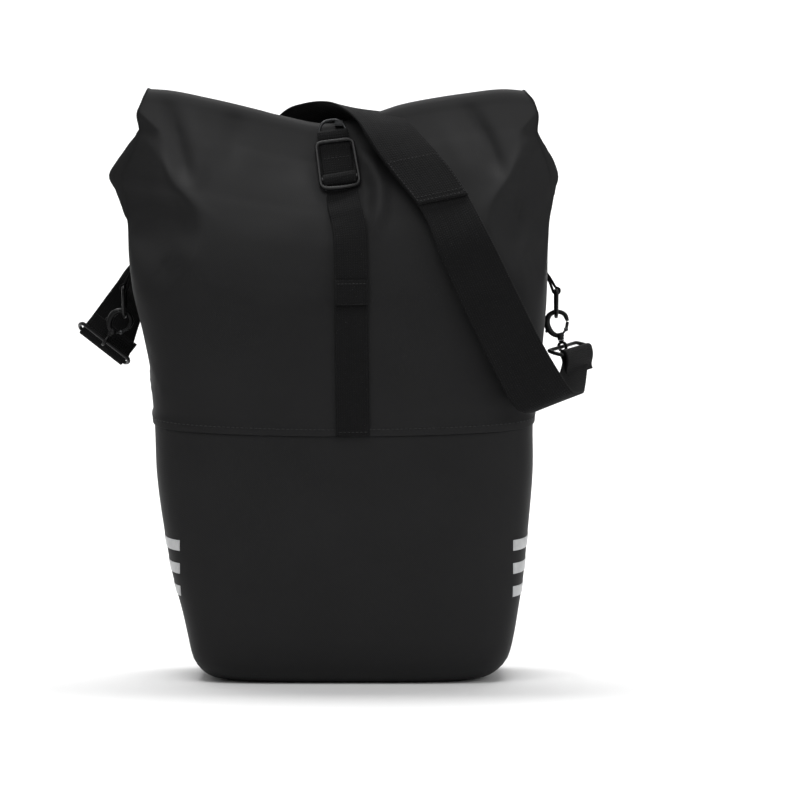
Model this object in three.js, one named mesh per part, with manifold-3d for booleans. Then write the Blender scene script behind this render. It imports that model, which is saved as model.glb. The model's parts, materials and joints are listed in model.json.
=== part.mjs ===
// Roll-top pannier bag with shoulder strap, rack hooks and reflective strips.
// Millimetres, +Z up. The front faces -Y, the side that hangs on the rack is +Y,
// and the origin is the middle of the flat base.
import * as THREE from 'three';
import { mergeVertices } from 'three/addons/utils/BufferGeometryUtils.js';
import Module from 'manifold-3d';

const wasm = await Module();
wasm.setup();

// Driving dimensions
const GAP = 0.3;
const FABRIC = 1.4;
const WEBBING = 2.2;
const FRONT_STRAP_WIDTH = 30;
const WIRE_RADIUS = 1.75;
const SEAM_HEIGHT = 236;
const TOP_HEIGHT = 540;
const TOP_SAG = 33;
const ROLL_HEIGHT = 36;
const ROLL_START = TOP_HEIGHT - ROLL_HEIGHT - 1;
const ROLL_FRONT = -4;
const ROLL_BACK = 32;
const AROUND = 40;
const BACK_FACE = 80;
const RAIL_HALF = 95;
const RAIL_Z = 385;
const HOOK_SPACING = 110;
const LOWER_RAIL_Z = 110;

// The bag's plan shape at each nominal height: left and right edge, front and back face,
// how square the plan is, and how deep the side gusset folds in.
const PROFILE = [
  { h: 0, left: -104, right: 112, front: -52, back: 52, square: 4, fold: 0 },
  { h: 3, left: -118, right: 124, front: -62, back: 62, square: 4, fold: 0 },
  { h: 10, left: -130, right: 137, front: -71, back: 71, square: 4.5, fold: 0 },
  { h: 20, left: -138, right: 146, front: -76, back: 76, square: 5, fold: 0 },
  { h: 40, left: -143, right: 152.5, front: -79, back: 79, square: 5, fold: 0 },
  { h: 110, left: -161, right: 163.5, front: -81, back: BACK_FACE, square: 5, fold: 0 },
  { h: 186, left: -171.5, right: 169.5, front: -83, back: BACK_FACE, square: 5, fold: 0 },
  { h: 236, left: -175, right: 171.5, front: -84, back: BACK_FACE, square: 5, fold: 0 },
  { h: 290, left: -180, right: 178.5, front: -87, back: BACK_FACE, square: 5, fold: 1 },
  { h: 357, left: -194, right: 183.5, front: -88, back: BACK_FACE, square: 5, fold: 5 },
  { h: 415, left: -199, right: 186, front: -78, back: 78, square: 5.5, fold: 20 },
  { h: 447, left: -210, right: 191, front: -62, back: 70, square: 6, fold: 34 },
  { h: 459, left: -215.5, right: 193.5, front: -53, back: 64, square: 6, fold: 38 },
  { h: 472, left: -208.5, right: 190, front: -44, back: 54, square: 6, fold: 36 },
  { h: 486, left: -199, right: 183, front: -35, back: 40, square: 6, fold: 30 },
  { h: 503, left: -189, right: 175, front: -25, back: 14, square: 6, fold: 6 },
  { h: 540, left: -181, right: 162, front: -4, back: 9, square: 6, fold: 0 },
];

const { degToRad, lerp, smoothstep } = THREE.MathUtils;
const vec = (x, y, z) => new THREE.Vector3(x, y, z);

const group = new THREE.Group();
group.name = 'pannier_bag';

// Materials
const paint = (color, roughness, metalness = 0) =>
  new THREE.MeshStandardMaterial({ color, roughness, metalness });
const coatedFabric = paint(0x232323, 0.55);
const webbing = paint(0x161616, 0.85);
const blackMetal = paint(0x1c1c1e, 0.35, 1);
const steel = paint(0x8d9094, 0.3, 1);
const blackPlastic = paint(0x1a1a1a, 0.5);
const rubber = paint(0x101010, 0.9);
const reflective = paint(0xc6c7c8, 0.45);

// ---------------------------------------------------------------- shape helpers

// A closed solid through a list of rings with the same number of points each.
// With wrap the last ring joins the first, otherwise both ends are capped.
function loft(rings, wrap = false) {
  const across = rings[0].length;
  const points = rings.flat();
  const triangles = [];
  const bands = wrap ? rings.length : rings.length - 1;
  for (let band = 0; band < bands; band++) {
    const near = band * across;
    const far = ((band + 1) % rings.length) * across;
    for (let i = 0; i < across; i++) {
      const j = (i + 1) % across;
      triangles.push([near + i, near + j, far + j], [near + i, far + j, far + i]);
    }
  }
  if (!wrap) {
    const last = (rings.length - 1) * across;
    const caps = [[rings[0], 0, 1], [rings[rings.length - 1], last, -1]];
    for (const [ring, first, turn] of caps) {
      const middle = ring.reduce((sum, p) => sum.add(p), vec(0, 0, 0)).divideScalar(across);
      const hub = points.push(middle) - 1;
      for (let i = 0; i < across; i++) {
        const j = (i + 1) % across;
        triangles.push(turn > 0 ? [hub, first + j, first + i] : [hub, first + i, first + j]);
      }
    }
  }
  let volume = 0;
  for (const [a, b, c] of triangles) {
    volume += points[a].dot(points[b].clone().cross(points[c]));
  }
  const outward = volume > 0 ? triangles : triangles.map(([a, b, c]) => [a, c, b]);
  const geometry = new THREE.BufferGeometry();
  geometry.setAttribute('position', new THREE.Float32BufferAttribute(
    points.flatMap((p) => [p.x, p.y, p.z]), 3));
  geometry.setIndex(outward.flat());
  return geometry;
}

function toManifold(geometry) {
  const bare = geometry.clone();
  bare.deleteAttribute('normal');
  bare.deleteAttribute('uv');
  const merged = mergeVertices(bare, 1e-4);
  return new wasm.Manifold(new wasm.Mesh({
    numProp: 3,
    vertProperties: new Float32Array(merged.attributes.position.array),
    triVerts: new Uint32Array(merged.index.array),
  }));
}

function fromManifold(manifold) {
  const mesh = manifold.getMesh();
  const geometry = new THREE.BufferGeometry();
  geometry.setAttribute('position', new THREE.BufferAttribute(mesh.vertProperties, 3));
  geometry.setIndex(new THREE.BufferAttribute(mesh.triVerts, 1));
  return geometry;
}

const join = (first, ...others) =>
  fromManifold(others.reduce((sum, other) => sum.add(toManifold(other)), toManifold(first)));
const cut = (first, ...tools) =>
  fromManifold(tools.reduce((rest, tool) => rest.subtract(toManifold(tool)), toManifold(first)));

// A box by its lowest and highest corners
function box(low, high) {
  const size = high.map((value, axis) => value - low[axis]);
  const middle = high.map((value, axis) => (value + low[axis]) / 2);
  return new THREE.BoxGeometry(...size).translate(...middle);
}

// A flat outline drawn in Y and Z and extruded along X, centred on x
function plateAlongX(shape, x, width, curveSegments = 6) {
  return new THREE.ExtrudeGeometry(shape, { depth: width, bevelEnabled: false, curveSegments })
    .rotateX(Math.PI / 2).rotateZ(Math.PI / 2).translate(x - width / 2, 0, 0);
}

// A flat outline drawn in X and Z and extruded along Y from y
function plateAlongY(shape, y, depth, curveSegments = 6) {
  return new THREE.ExtrudeGeometry(shape, { depth, bevelEnabled: false, curveSegments })
    .rotateX(Math.PI / 2).translate(0, y + depth, 0);
}

function polygon(points) {
  return new THREE.Shape(points.map(([u, v]) => new THREE.Vector2(u, v)));
}

// A rectangle with rounded corners, by its centre and half sizes
function roundedRectangle(halfWidth, halfHeight, radius, x = 0, y = 0, Kind = THREE.Shape) {
  const shape = new Kind();
  const corners = [[1, -1, -90], [1, 1, 0], [-1, 1, 90], [-1, -1, 180]];
  for (const [sideX, sideY, start] of corners) {
    const centreX = x + sideX * (halfWidth - radius);
    const centreY = y + sideY * (halfHeight - radius);
    shape.absarc(centreX, centreY, radius, degToRad(start), degToRad(start + 90), false);
  }
  return shape;
}

// A round rod along Y or X, from start to end
function rodAlongY(x, z, radius, start, end, sides = 12) {
  return new THREE.CylinderGeometry(radius, radius, end - start, sides)
    .translate(x, (start + end) / 2, z);
}

function rodAlongX(y, z, radius, start, end, sides = 12) {
  return new THREE.CylinderGeometry(radius, radius, end - start, sides)
    .rotateZ(Math.PI / 2).translate((start + end) / 2, y, z);
}

// A wire of round section along a curve, closed or with flat ends
function wire(points, radius, { closed = false, steps = 24, sides = 8, tension = 0.5 } = {}) {
  const curve = new THREE.CatmullRomCurve3(points, closed, 'catmullrom', tension);
  const frames = curve.computeFrenetFrames(steps, closed);
  const rings = [];
  for (let step = 0; step < (closed ? steps : steps + 1); step++) {
    const centre = curve.getPointAt(step / steps);
    const ring = [];
    for (let side = 0; side < sides; side++) {
      const angle = side * 2 * Math.PI / sides;
      ring.push(centre.clone()
        .addScaledVector(frames.normals[step], radius * Math.cos(angle))
        .addScaledVector(frames.binormals[step], radius * Math.sin(angle)));
    }
    rings.push(ring);
  }
  return loft(rings, closed);
}

// A flat strap between two edge curves
function ribbon(leftEdge, rightEdge, thickness, steps) {
  const left = new THREE.CatmullRomCurve3(leftEdge, false, 'centripetal');
  const right = new THREE.CatmullRomCurve3(rightEdge, false, 'centripetal');
  const rings = [];
  for (let step = 0; step <= steps; step++) {
    const at = step / steps;
    const a = left.getPoint(at);
    const b = right.getPoint(at);
    const along = left.getTangent(at).add(right.getTangent(at)).normalize();
    const normal = along.clone().cross(b.clone().sub(a)).normalize()
      .multiplyScalar(thickness / 2);
    rings.push([
      a.clone().add(normal), b.clone().add(normal),
      b.clone().sub(normal), a.clone().sub(normal),
    ]);
  }
  return loft(rings);
}

function add(name, geometry, material, parent = group) {
  const mesh = new THREE.Mesh(geometry, material);
  mesh.name = name;
  parent.add(mesh);
  return mesh;
}

// ---------------------------------------------------------------- the bag's skin

function profileAt(h) {
  const above = Math.max(1, PROFILE.findIndex((row) => row.h >= h));
  const [low, high] = [PROFILE[above - 1], PROFILE[above]];
  const share = (h - low.h) / (high.h - low.h);
  const row = {};
  for (const key of Object.keys(low)) row[key] = lerp(low[key], high[key], share);
  return row;
}

// The share of the top edge's sag at u, which runs from -1 at the left to 1 at the right
function topSag(u) {
  const softness = 0.12;
  return (Math.hypot(1, softness) - Math.hypot(u, softness)) / (Math.hypot(1, softness) - softness);
}

// How far a point lies above its nominal height: the seam smiles and the top edge sags.
// v runs from -1 in front to 1 behind.
function rise(u, v, h) {
  const seam = -8 + 6 * u * u + 10 * smoothstep(v, -1, 0);
  const top = -TOP_SAG * topSag(u);
  if (h <= SEAM_HEIGHT) return seam * h / SEAM_HEIGHT;
  return lerp(seam, top, Math.min(1, (h - SEAM_HEIGHT) / (ROLL_START - SEAM_HEIGHT)));
}

function skinPoint(angle, h, inset = 0) {
  const row = profileAt(h);
  const [c, s] = [Math.cos(angle), Math.sin(angle)];
  const reach = (Math.abs(c) ** row.square + Math.abs(s) ** row.square) ** (-1 / row.square);
  const [u, v] = [reach * c, reach * s];
  const pinch = row.fold * Math.max(0, 1 - Math.abs(v) / 0.7) ** 1.3 * u ** 4 * Math.sign(u);
  return vec(
    (row.left + row.right) / 2 + u * ((row.right - row.left) / 2 - inset) - pinch,
    (row.front + row.back) / 2 + v * ((row.back - row.front) / 2 - inset),
    h + rise(u, v, h),
  );
}

function skinRing(h, inset = 0, sides = AROUND) {
  const ring = [];
  for (let i = 0; i < sides; i++) ring.push(skinPoint(i * 2 * Math.PI / sides, h, inset));
  return ring;
}

// The point of the front (side -1) or back (side 1) panel at a given x and z
function panelPoint(side, x, z) {
  let h = z;
  let y = 0;
  for (let round = 0; round < 8; round++) {
    const row = profileAt(Math.min(Math.max(h, 0), TOP_HEIGHT));
    const u = (x - (row.left + row.right) / 2) / ((row.right - row.left) / 2);
    const v = side * Math.max(0, 1 - Math.abs(u) ** row.square) ** (1 / row.square);
    h = z - rise(u, v, Math.min(h, TOP_HEIGHT));
    y = (row.front + row.back) / 2 + v * (row.back - row.front) / 2;
  }
  return vec(x, y, z);
}

// The same point moved out from the panel by a clearance, square to its slope
function onPanel(side, x, z, clearance) {
  const reach = 4;
  const point = panelPoint(side, x, z);
  const slope = panelPoint(side, x, z + reach).sub(panelPoint(side, x, z - reach)).normalize();
  return point.add(vec(0, side * slope.z, -side * slope.y).multiplyScalar(clearance));
}

const onFront = (x, z, clearance) => onPanel(-1, x, z, clearance);
const onBack = (x, z, clearance) => onPanel(1, x, z, clearance);
const levels = (from, to) =>
  [from, ...PROFILE.map((row) => row.h).filter((h) => h > from && h < to), to];

// ---------------------------------------------------------------- bag body

const FLOOR = 2;
const screwPlaces = [
  [-88, RAIL_Z], [88, RAIL_Z], [-60, LOWER_RAIL_Z], [60, LOWER_RAIL_Z],
];
const screwHoles = screwPlaces.map(([x, z]) => rodAlongY(x, z, 2.4, 60, 100));

function buildShells() {
  const lowerLevels = levels(0, SEAM_HEIGHT - GAP);
  const lowerShell = loft([
    ...lowerLevels.map((h) => skinRing(h)),
    ...lowerLevels.filter((h) => h > FLOOR).reverse().map((h) => skinRing(h, FABRIC)),
    skinRing(FLOOR, FABRIC),
  ]);
  add('lower_shell', cut(lowerShell, ...screwHoles.slice(2)), coatedFabric);
  const upperLevels = levels(SEAM_HEIGHT + GAP, ROLL_START);
  const upperBody = loft([
    ...upperLevels.map((h) => skinRing(h)),
    ...upperLevels.reverse().map((h) => skinRing(h, FABRIC)),
  ], true);
  add('upper_body', cut(upperBody, ...screwHoles.slice(0, 2)), coatedFabric);
}

// The turned edge of the lower shell stands proud along the seam
function buildSeamEdge() {
  const heights = [SEAM_HEIGHT - 3, SEAM_HEIGHT + 2];
  add('seam_edge', loft([
    ...heights.map((h) => skinRing(h, -1.4)),
    ...heights.reverse().map((h) => skinRing(h, -GAP)),
  ], true), coatedFabric);
}

// The rolled-up mouth: a long stadium that follows the sagging top edge, round a flat core
function buildRoll() {
  const top = profileAt(TOP_HEIGHT);
  const middleX = (top.left + top.right) / 2;
  const halfLength = (top.right - top.left) / 2;
  const middleY = (ROLL_FRONT + ROLL_BACK) / 2;
  const stations = 14;
  const section = (u, halfDepth, halfHeight, sides) => {
    const z = TOP_HEIGHT - TOP_SAG * topSag(u) - ROLL_HEIGHT / 2;
    const ring = [];
    for (let i = 0; i < sides; i++) {
      const angle = i * 2 * Math.PI / sides;
      const [c, s] = [Math.cos(angle), Math.sin(angle)];
      const reach = (Math.abs(c) ** 3 + Math.abs(s) ** 3) ** (-1 / 3);
      ring.push(vec(
        middleX + u * halfLength,
        middleY + halfDepth * reach * c,
        z + halfHeight * reach * s,
      ));
    }
    return ring;
  };
  const across = [];
  for (let i = 0; i <= stations; i++) across.push(-1 + 2 * i / stations);
  const core = { halfDepth: 3, halfHeight: 12 };
  const halfDepth = (ROLL_BACK - ROLL_FRONT) / 2;
  add('roll_closure', loft([
    ...across.map((u) => section(u, halfDepth, ROLL_HEIGHT / 2, 16)),
    ...across.slice().reverse().map((u) => section(u, core.halfDepth, core.halfHeight, 16)),
  ], true), coatedFabric);
  add('roll_stiffener', loft(
    across.slice(1, -1).map((u) => section(u, 1, core.halfHeight - 1, 8)),
  ), blackPlastic);
}

// Boards inside the bag that keep the back and the base flat
function buildBoards() {
  const backBoard = plateAlongY(roundedRectangle(98, 170, 20, 0, 225), 70.5, 2.5);
  add('back_board', cut(backBoard, ...screwHoles), blackPlastic);
  const baseBoard = new THREE.ExtrudeGeometry(roundedRectangle(100, 48, 20, 2, 0), {
    depth: 2.5, bevelEnabled: false, curveSegments: 4,
  });
  add('base_board', baseBoard.translate(0, 0, FLOOR + 1), blackPlastic);
}

// Three short bars wrap round each lower front corner
function buildReflectiveStrips() {
  const heights = [122, 100.5, 79];
  const stripHeight = 10;
  const arc = { from: 41, to: -14, steps: 10 };
  for (const [name, side] of [['left', -1], ['right', 1]]) {
    heights.forEach((height, index) => {
      const rings = [];
      for (let step = 0; step <= arc.steps; step++) {
        const turn = degToRad(lerp(arc.from, arc.to, step / arc.steps));
        const angle = side > 0 ? -turn : Math.PI + turn;
        rings.push([
          skinPoint(angle, height, -1.1), skinPoint(angle, height + stripHeight, -1.1),
          skinPoint(angle, height + stripHeight, -GAP), skinPoint(angle, height, -GAP),
        ]);
      }
      add(`reflective_strip_${name}_${index + 1}`, loft(rings), reflective);
    });
  }
}

buildShells();
buildSeamEdge();
buildRoll();
buildBoards();
buildReflectiveStrips();

// ---------------------------------------------------------------- front strap and buckle

const STRAP_FOOT = { x: 7, z: 231 };
const BUCKLE = { x: -6.5, y: -40, z: 458, leanDegrees: 27 };
const FRAME_THICKNESS = 3;

// A strap lying on the front panel between two heights, at a clearance from the fabric
function frontRibbon(from, to, clearance, steps) {
  const edges = [[], []];
  const points = 14;
  for (let i = 0; i < points; i++) {
    const z = lerp(from, to, i / (points - 1));
    const share = (z - STRAP_FOOT.z) / (BUCKLE.z - STRAP_FOOT.z);
    const x = lerp(STRAP_FOOT.x, BUCKLE.x, share);
    const centre = onFront(x, z, clearance);
    edges[0].push(centre.clone().setX(x - FRONT_STRAP_WIDTH / 2));
    edges[1].push(centre.clone().setX(x + FRONT_STRAP_WIDTH / 2));
  }
  return ribbon(edges[0], edges[1], WEBBING, steps);
}

function buildFrontStrap() {
  add('front_strap', frontRibbon(224, 438, 3.6, 14), webbing);
  add('strap_tail', frontRibbon(347, 434, 6.6, 8), webbing);
  add('strap_tail_hem', frontRibbon(348, 364, 9.3, 3), webbing);
}

// The buckle stands in its own leaning frame: x across, z up the lean, y into the bag.
// Its lower bar, which the front strap goes round, is the pivot.
function buildBuckle() {
  const lean = new THREE.Group();
  lean.position.set(BUCKLE.x, BUCKLE.y, BUCKLE.z);
  lean.rotation.x = -degToRad(BUCKLE.leanDegrees);
  group.add(lean);
  const frame = roundedRectangle(19.5, 25, 6, 0, 14.5);
  frame.holes.push(
    roundedRectangle(15.6, 2.8, 1.5, 0, -4.9, THREE.Path),
    roundedRectangle(15.6, 15.8, 2, 0, 18.2, THREE.Path),
  );
  add('buckle_frame', plateAlongY(frame, -FRAME_THICKNESS / 2, FRAME_THICKNESS, 3),
    blackMetal, lean);
  const tab = roundedRectangle(14, 20.4, 1.5, 0, 23.4);
  add('buckle_webbing', plateAlongY(tab, FRAME_THICKNESS / 2 + GAP, WEBBING, 2), webbing, lean);
  const outline = [[-12, 47], [0, 47], [12, 47], [9.5, 57], [5, 61], [-5, 61], [-9.5, 57]];
  add('buckle_ring', wire(outline.map(([x, z]) => vec(x, 3, z)), 1.5,
    { closed: true, steps: 28, sides: 6 }), steel, lean);
}

// A strap from the back panel comes over the roll and ends in a low hook for the ring
function buildCatch() {
  const hook = polygon([
    [12, 507.6], [12, 509.4], [3, 509.4], [0, 508.3], [-12.7, 508.3], [-13, 510.6],
    [-15.5, 510.6], [-15.5, 505.7], [1.5, 505.7], [5, 507.6],
  ]);
  add('catch_hook', plateAlongX(hook, BUCKLE.x, 7), steel);
  const route = [
    [82.5, 418], [81, 432], [74, 456], [58, 480], [42, 497], [33, 508], [23, 510.9],
    [13, 510.9], [4, 510.9],
  ];
  const halfWidth = 7.5;
  const edge = (side) => route.map(([y, z]) => vec(BUCKLE.x + side * halfWidth, y, z));
  add('catch_strap', ribbon(edge(-1), edge(1), 2, 18), webbing);
}

buildFrontStrap();
buildBuckle();
buildCatch();

// ---------------------------------------------------------------- side clips

// Each side has a webbing tab, a D-ring that swings on it, and a swivel snap hook
// that carries the wire ring of the shoulder strap. reach is how far the tab goes back to
// the bag's side, tilt leans the hook off the vertical and turn spins its swivel;
// ringSide is the side the strap's wire lies on.
const CLIPS = {
  left: {
    x: -203.5, y: -5, z: 358, side: -1, reach: 13, drop: 27, tilt: 38, turn: 0, ringSide: 1,
  },
  right: {
    x: 193, y: -2, z: 355, side: 1, reach: 12, drop: 24, tilt: -12, turn: 58, ringSide: -1,
  },
};
const HOOK_WIRE = 2.1;
const SEAT = WIRE_RADIUS + HOOK_WIRE + 0.4;
const EYE_Z = -32.5;
const RING_HALF_LENGTH = 28;
const RING_DEPTH = 13;

function buildTab(name, clip) {
  const outer = clip.side * 6;
  const inner = -clip.side * clip.reach;
  const outline = polygon([
    [clip.x + inner, clip.z + 15], [clip.x + outer, clip.z + 9], [clip.x + outer, clip.z - 3],
    [clip.x + outer * 0.5, clip.z - 5], [clip.x - outer * 0.5, clip.z - 5],
    [clip.x + inner, clip.z - 1],
  ]);
  outline.holes.push(new THREE.Path().absarc(clip.x, clip.z, WIRE_RADIUS + 1, 0, 2 * Math.PI));
  const tab = plateAlongY(outline, clip.y - 9.5, 19, 5);
  add(`${name}_tab`, tab, webbing);
}

function buildDRing(name, clip) {
  const d = clip.drop;
  const outline = [
    [-12, 0], [0, 0], [12, 0], [13, -0.35 * d], [8.5, -0.85 * d], [0, -d],
    [-8.5, -0.85 * d], [-13, -0.35 * d],
  ];
  const points = outline.map(([y, z]) => vec(clip.x, clip.y + y, clip.z + z));
  add(`${name}_d_ring`, wire(points, WIRE_RADIUS, { closed: true, steps: 32, sides: 7 }),
    blackMetal);
}

function buildSnapHook(name, clip) {
  const hang = new THREE.Group();
  const tilt = degToRad(clip.tilt);
  hang.position.set(
    clip.x + SEAT * Math.sin(tilt), clip.y, clip.z - clip.drop + SEAT * Math.cos(tilt));
  hang.rotation.y = tilt;
  group.add(hang);
  const jaw = [[0, -22], [-6, -19], [-9.5, -11], [-7.5, -3], [0, 0], [7.5, -3], [9.3, -9]];
  const jawWire = wire(jaw.map(([x, z]) => vec(x, 0, z)), HOOK_WIRE, { steps: 18, sides: 8 });
  const barrel = new THREE.CylinderGeometry(3.6, 3, 6, 12).rotateX(Math.PI / 2)
    .translate(0, 0, -23);
  add(`${name}_snap_hook`, join(barrel, jawWire), blackMetal, hang);
  const gate = wire([vec(6.4, 0, -17.6), vec(8, 0, -14), vec(9.3, 0, -11.4)], 1.5,
    { steps: 4, sides: 8 });
  const boss = new THREE.CylinderGeometry(2, 2, 4.4, 10).translate(6.4, 0, -17.6);
  add(`${name}_snap_gate`, join(boss, gate), steel, hang);

  const spin = new THREE.Group();
  spin.rotation.z = degToRad(clip.turn);
  hang.add(spin);
  const stem = new THREE.CylinderGeometry(1.8, 1.8, 3, 10).rotateX(Math.PI / 2)
    .translate(0, 0, -27.9);
  const eye = new THREE.TorusGeometry(4, 1.4, 6, 14).rotateY(Math.PI / 2)
    .translate(0, 0, EYE_Z);
  add(`${name}_swivel_eye`, join(stem, eye), blackMetal, spin);
  const far = clip.ringSide * RING_DEPTH;
  const long = RING_HALF_LENGTH;
  const loop = [
    [-long + 3, 0, 0], [0, 0, 0], [long - 3, 0, 0], [long, far / 2, -3],
    [long - 3, far, -6], [0, far, -6], [-long + 3, far, -6], [-long, far / 2, -3],
  ];
  add(`${name}_wire_ring`, wire(loop.map(([x, y, z]) => vec(x, y, z + EYE_Z)), WIRE_RADIUS,
    { closed: true, steps: 36, sides: 7, tension: 0.3 }), blackMetal, spin);
}

for (const [name, clip] of Object.entries(CLIPS)) {
  buildTab(name, clip);
  buildDRing(name, clip);
  buildSnapHook(name, clip);
}

// ---------------------------------------------------------------- shoulder strap

// Both edges of the 50 mm strap as [x, y, z], from the left ring up behind the bag, over
// the rolled top, down the front, round a hanging fold and up to the right ring
const STRAP_BACK = [
  [[-227, 11, 341], [-189, 14, 311]],
  [[-214, 27, 360], [-190.5, 42, 329]],
  [[-199, 52, 381], [-181, 63, 341]],
  [[-160, 82, 415], [-124, 88, 383]],
  [[-121, 88, 451], [-83, 87, 419]],
  [[-86, 71, 490], [-48, 74, 458]],
  [[-60, 47, 519], [-23, 53, 487]],
  [[-40, 27, 527], [-2, 45, 501]],
  [[-18, 8, 528], [20, 36, 513]],
  [[-2, -12, 521], [40, 14, 518]],
  [[11, -27, 509.5], [55, -13, 511]],
];
const STRAP_FRONT = [
  [[12, -28.5, 508], [55.8, -14, 510]],
  [[24, -43, 487], [68, -29, 496]],
  [[43, -57, 461], [86, -46, 477]],
  [[70, -75, 426], [107, -62, 449]],
  [[89, -91, 385], [130, -84, 410]],
  [[113, -95, 334], [156, -88, 359]],
  [[135, -97, 291], [178, -86, 316]],
  [[153, -96, 257], [195, -85, 287]],
  [[164, -89, 247], [208, -79, 267]],
  [[176, -72, 251], [215, -56, 264]],
  [[187, -54, 263], [219, -24, 269]],
  [[191, -41, 277], [219.5, 2, 278]],
];

function strapPiece(name, pairs, steps) {
  const edge = (index) => pairs.map((pair) => vec(...pair[index]));
  add(name, ribbon(edge(0), edge(1), WEBBING, steps), webbing);
}

strapPiece('strap_left_end', [
  [[-242, 7, 322], [-204, 7, 292]], [[-235, 8, 331], [-197, 9, 301]],
  [[-227.4, 10.6, 340.4], [-189.4, 13.4, 310.4]],
], 4);
strapPiece('shoulder_strap_back', STRAP_BACK, 34);
strapPiece('shoulder_strap_front', STRAP_FRONT, 40);
strapPiece('strap_right_end', [
  [[191.2, -40.4, 277.8], [219.6, 2.8, 278.8]], [[193, -35, 286], [220.5, 7, 286.5]],
  [[194, -31.5, 293.5], [221.5, 10.5, 293.5]],
], 4);

// ---------------------------------------------------------------- rack rails and hooks

const RAIL_FACE = BACK_FACE + 0.8;
const RAIL_DEPTH = 9.5;

// A channel open to the rack: base, two walls and two lips that hold a sliding foot
function channel(z, halfLength, halfHeight, lip) {
  const outer = RAIL_FACE + RAIL_DEPTH;
  const wall = 3;
  const outline = polygon([
    [RAIL_FACE, z - halfHeight], [outer, z - halfHeight], [outer, z - lip],
    [outer - 2.5, z - lip], [outer - 2.5, z - halfHeight + wall],
    [RAIL_FACE + wall, z - halfHeight + wall], [RAIL_FACE + wall, z + halfHeight - wall],
    [outer - 2.5, z + halfHeight - wall], [outer - 2.5, z + lip], [outer, z + lip],
    [outer, z + halfHeight], [RAIL_FACE, z + halfHeight],
  ]);
  return plateAlongX(outline, 0, 2 * halfLength);
}

function buildRails() {
  const rails = [
    ['top_rail', RAIL_Z, RAIL_HALF, 17, 7.5], ['lower_rail', LOWER_RAIL_Z, 75, 12, 5],
  ];
  for (const [name, z, halfLength, halfHeight, lip] of rails) {
    add(name, cut(channel(z, halfLength, halfHeight, lip), ...screwHoles), blackPlastic);
  }
  screwPlaces.forEach(([x, z], index) => {
    const shank = rodAlongY(x, z, 2, 68, RAIL_FACE + 3.4, 10);
    const head = rodAlongY(x, z, 4, RAIL_FACE + 3.2, RAIL_FACE + 4.6, 12);
    add(`rail_screw_${index + 1}`, join(shank, head), steel);
  });
}
buildRails();

const FOOT_Y = [RAIL_FACE + 3.4, RAIL_FACE + 6.6];
const RAIL_FRONT = RAIL_FACE + RAIL_DEPTH;
const MOUTH = { y: 111.5, z: 399, radius: 9.5, wall: 7 };
const GROOVE = { z: 387.6, depth: 0.5 };
const PIVOT = { x: 20, z: 389 };
const PIN_RADIUS = 2;

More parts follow.
